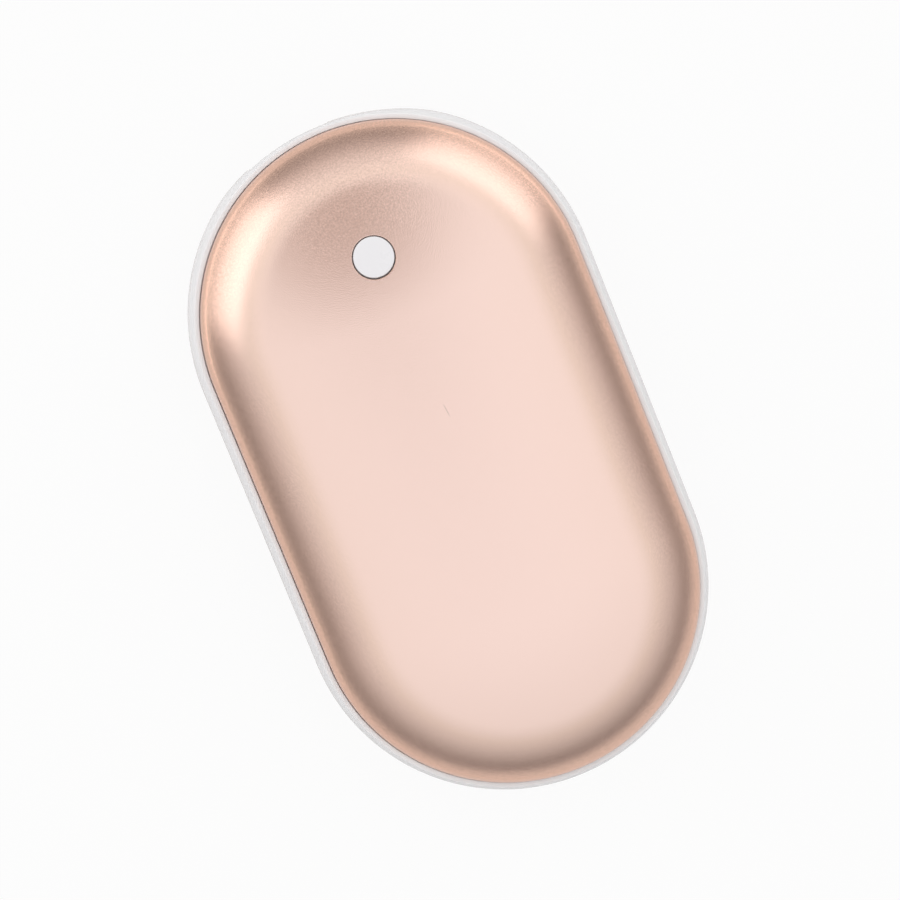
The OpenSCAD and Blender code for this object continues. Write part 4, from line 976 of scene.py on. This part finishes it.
def screw_bosses():
    whole = bmesh.new()
    for y, turn, bottom in BOARD_STATIONS + TRAY_STATIONS:
        station = at_station(y, turn)
        out = WEB_R - BOSS_IN
        add_rod(whole, station, out, BOSS_R, bottom, BOSS_TOP)
        bar_bottom = max(bottom, MID_Z - REBATE_Z)
        add_bar(whole, station, (out, -BAR_HALF_W, bar_bottom), (WEB_R + BAR_SUNK, BAR_HALF_W, BOSS_TOP))
    return whole


def pilot_holes_and_notches():
    whole = bmesh.new()
    for y, turn, bottom in BOARD_STATIONS + TRAY_STATIONS:
        low, high = bottom - CUT_MARGIN, bottom + PILOT_DEPTH
        add_rod(whole, at_station(y, turn), WEB_R - BOSS_IN, PILOT_R, low, high)
    for y, turn in HOOK_STATIONS:
        for low, high in ((NOTCH_FROM, NOTCH_TO), (-NOTCH_TO, -NOTCH_FROM)):
            add_bar(whole, at_station(y, turn), (WEB_R - CUT_MARGIN, -NOTCH_HALF_W, MID_Z + low),
                    (WEB_R + NOTCH_DEPTH, NOTCH_HALF_W, MID_Z + high))
    return whole


def join_solid(piece, whole, operation):
    """Adds a solid to a piece, or cuts it out, and keeps the result as the piece's mesh."""
    bmesh.ops.scale(whole, vec=(MM, MM, MM), verts=whole.verts)
    mesh = bpy.data.meshes.new("tool")
    whole.to_mesh(mesh)
    whole.free()
    tool = bpy.data.objects.new("tool", mesh)
    bpy.context.scene.collection.objects.link(tool)
    change = piece.modifiers.new("join", "BOOLEAN")
    change.object = tool
    change.operation = operation
    change.solver = "EXACT"
    change.use_self = True
    ready = piece.evaluated_get(bpy.context.evaluated_depsgraph_get())
    result = bpy.data.meshes.new_from_object(ready)
    piece.modifiers.clear()
    piece.data = result
    result.shade_smooth()
    result.set_sharp_from_angle(angle=radians(SHARP))
    bpy.data.objects.remove(tool)


# Button

BUTTON_R = 3
BUTTON_ROUND = 0.16
FLANGE_R = 4.3
FLANGE_T = 0.8
FLANGE_ROUND = 0.1
GLUE_GAP = 0.05
STEM_R = 1.5
BUTTON_STEPS = 6
# How far the button stands out of the middle of its hole
BUTTON_SETTLED = (0.069, 0.03)


def quarter(out, up, radius, first, last, count=3):
    turns = [radians(first)] + steps(radians(first), radians(last), count)
    return [(out + radius * cos(t), up + radius * sin(t)) for t in turns]


def turned_solid(skin, centre, profile, count=ROUND_STEPS):
    """A solid of revolution from its lowest point on the axis to its highest."""
    ends = [skin.ring([(*centre, profile[k][1])])[0] for k in (0, -1)]
    rings = []
    for out, up in profile[1:-1]:
        turns = [2 * pi * k / count for k in range(count)]
        rings.append(skin.ring([(centre[0] + out * cos(t), centre[1] + out * sin(t), up) for t in turns]))
    for before, after in zip(rings, rings[1:]):
        skin.bridge(before, after)
    for end, ring in zip(ends, (rings[0], rings[-1])):
        skin.faces += [(end, ring[k - 1], ring[k]) for k in range(count)]


def button():
    low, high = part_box("button_cap")
    bottom, top = low[2] / MM, high[2] / MM
    centre = button_centre()
    flange_top = shell_z(0, centre[1] + FLANGE_R, SHELL_WALL, 1) - GLUE_GAP
    centre = (centre[0] + BUTTON_SETTLED[0], centre[1] + BUTTON_SETTLED[1])
    flange_bottom = flange_top - FLANGE_T
    small = FLANGE_ROUND
    profile = [(0, bottom)]
    profile += quarter(STEM_R - small, bottom + small, small, -90, 0)
    profile += [(STEM_R, flange_bottom)]
    profile += quarter(FLANGE_R - small, flange_bottom + small, small, -90, 0)
    profile += quarter(FLANGE_R - small, flange_top - small, small, 0, 90)
    profile += [(BUTTON_R, flange_top)]
    profile += quarter(BUTTON_R - BUTTON_ROUND, top - BUTTON_ROUND, BUTTON_ROUND, 0, 90, BUTTON_STEPS)
    profile += [(BUTTON_R / 2, top), (0, top)]
    skin = Skin()
    turned_solid(skin, centre, profile)
    skin.piece("button_cap_body", "button_plastic", "button_cap", "button")


# The switch's snap dome

DOME_WALL = 0.1
DOME_STEPS = 10
DOME_ROUND_STEPS = 48


def snap_dome():
    """The thin metal dome in the switch, under the plunger."""
    low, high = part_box("switch_dome")
    centre = ((low[0] + high[0]) / 2 / MM, (low[1] + high[1]) / 2 / MM)
    radius, height = (high[0] - low[0]) / 2 / MM, (high[2] - low[2]) / MM
    ball = (radius ** 2 + height ** 2) / (2 * height)
    middle = high[2] / MM - ball
    profile = []
    for bend, turns in (
        (ball - DOME_WALL, [0] + steps(0, acos((ball - height) / (ball - DOME_WALL)), DOME_STEPS)),
        (ball, [asin(radius / ball)] + steps(asin(radius / ball), 0, DOME_STEPS)),
    ):
        profile += [(bend * sin(turn), middle + bend * cos(turn)) for turn in turns]
    skin = Skin()
    turned_solid(skin, centre, profile, DOME_ROUND_STEPS)
    piece = skin.piece("switch_dome_sheet", "switch_steel", "switch_dome", "casing")
    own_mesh(piece)


# Room

# Share of plain white in the floor as the camera sees it, and as metal and resin show it
SEEN_WHITE = 0.92
MIRRORED_WHITE = 0.2
FLOOR_COLOUR = (0.8, 0.8, 0.8, 1)
FLOOR_HALF = 1.5


def pale_floor():
    half = FLOOR_HALF
    corners = [(-half, -half, 0), (half, -half, 0), (half, half, 0), (-half, half, 0)]
    mesh = bpy.data.meshes.new("floor")
    mesh.from_pydata(corners, [], [(0, 1, 2, 3)])
    floor = bpy.data.objects.new("floor", mesh)
    bpy.context.scene.collection.objects.link(floor)
    material = bpy.data.materials.new("pale_floor")
    material.use_nodes = True
    tree = material.node_tree
    tree.nodes.clear()
    path = add_node(tree, "LightPath").outputs
    mirrored = maths(tree, "MAXIMUM", path["Is Glossy Ray"], path["Is Transmission Ray"])
    mirrored = maths(tree, "MULTIPLY", mirrored, MIRRORED_WHITE)
    seen = maths(tree, "MULTIPLY", path["Is Camera Ray"], SEEN_WHITE)
    matte = add_node(tree, "BsdfDiffuse", {"Color": FLOOR_COLOUR})
    glow = add_node(tree, "Emission", {"Color": (1, 1, 1, 1), "Strength": 1.0})
    share = maths(tree, "MAXIMUM", seen, mirrored)
    mixed = add_node(tree, "MixShader", {0: share, 1: matte.outputs[0], 2: glow.outputs[0]})
    add_node(tree, "OutputMaterial", {"Surface": mixed.outputs[0]})
    mesh.materials.append(material)


# Brightness of the sky by the height of the way to it: nought at the horizon and one overhead
SKY = [(0.0, 0.25), (0.17, 0.32), (0.33, 0.52), (0.5, 0.69), (0.8, 0.98), (0.93, 1.09), (1.0, 1.12)]
# What the camera sees past the floor's edge
SEEN_SKY = 0.98
# How much brighter the sky is on the right, and at the port end
SKY_RISE = (0.04, 0.1)
# A dim patch overhead: its direction, its inner and outer radius in degrees, and its colour
PATCH_WAY = (-0.02, 0.259, 0.966)
PATCH_INNER = 4
PATCH_OUTER = 19
PATCH_COLOUR = (0.5, 0.41, 0.36, 1)


def studio_sky():
    """A soft sky, bright overhead and dimmer towards the horizon, with one dim patch."""
    world = bpy.data.worlds.new("studio")
    bpy.context.scene.world = world
    world.use_nodes = True
    tree = world.node_tree
    tree.nodes.clear()
    way = add_node(tree, "TexCoord").outputs["Generated"]
    x, y, z = add_node(tree, "SeparateXYZ", {0: way}).outputs
    ramp = add_node(tree, "ValToRGB", {0: z})
    set_ramp(ramp.color_ramp, [(place, (level, level, level)) for place, level in SKY])
    to_right = maths(tree, "MULTIPLY", x, SKY_RISE[0])
    to_ports = maths(tree, "MULTIPLY", y, SKY_RISE[1])
    rise = maths(tree, "ADD", to_right, to_ports)
    towards = add_node(tree, "VectorMath", {0: way, 1: Vector(PATCH_WAY).normalized()},
                       operation="DOT_PRODUCT").outputs["Value"]
    patch = eased(tree, towards, cos(radians(PATCH_OUTER)), cos(radians(PATCH_INNER)), "SMOOTHSTEP")
    colour = blend_colours(tree, patch, ramp.outputs[0], PATCH_COLOUR)
    glow = add_node(tree, "Background", {"Color": colour, "Strength": maths(tree, "ADD", rise, 1.0)})
    plain = add_node(tree, "Background", {"Color": (1, 1, 1, 1), "Strength": SEEN_SKY})
    seen = add_node(tree, "LightPath").outputs["Is Camera Ray"]
    mixed = add_node(tree, "MixShader", {0: seen, 1: glow.outputs[0], 2: plain.outputs[0]})
    add_node(tree, "OutputWorld", {"Surface": mixed.outputs[0]})


def area_light(name, width, height, brightness):
    """A lamp whose face has this brightness, whatever its size, and that the camera doesn't see."""
    data = bpy.data.lights.new(name, "AREA")
    data.shape = "RECTANGLE"
    data.size = width
    data.size_y = height
    data.energy = brightness * pi * width * height
    lamp = bpy.data.objects.new(name, data)
    lamp.visible_camera = False
    bpy.context.scene.collection.objects.link(lamp)
    return lamp


# Softboxes: turn from the right side towards the port end, height angle, width, height, brightness
SOFTBOXES = {
    "left_softbox": (140, 24, 0.85, 0.7, 0.95),
    "right_softbox": (34, 23, 0.85, 0.7, 0.78),
}


def softboxes():
    """Each stands a metre from the origin and faces it."""
    for name, (turn, lift, width, height, brightness) in SOFTBOXES.items():
        turn, lift = radians(turn), radians(lift)
        lamp = area_light(name, width, height, brightness)
        lamp.location = (cos(lift) * cos(turn), cos(lift) * sin(turn), sin(lift))
        lamp.rotation_euler = lamp.location.to_track_quat("Z", "Y").to_euler()


# Cards of light on the floor before the softboxes: turn, near and far end, width, brightness
CARDS = {
    "left_card": (140, 0.09, 0.3, 0.13, 0.5),
    "right_card": (38, 0.09, 0.3, 0.11, 0.45),
}
CARD_HEIGHT = 0.001


def light_cards():
    """Each lies along its turn, and shines up."""
    for name, (turn, near, far, width, brightness) in CARDS.items():
        turn = radians(turn)
        lamp = area_light(name, far - near, width, brightness)
        middle = (near + far) / 2
        lamp.location = (middle * cos(turn), middle * sin(turn), CARD_HEIGHT)
        lamp.rotation_euler = (pi, 0, turn)


photo_camera()
studio_sky()
softboxes()
light_cards()
pale_floor()
dress_frame()
front_shell()
back_shell()
band()
button()
snap_dome()

scene = bpy.context.scene
scene.view_settings.view_transform = "Standard"
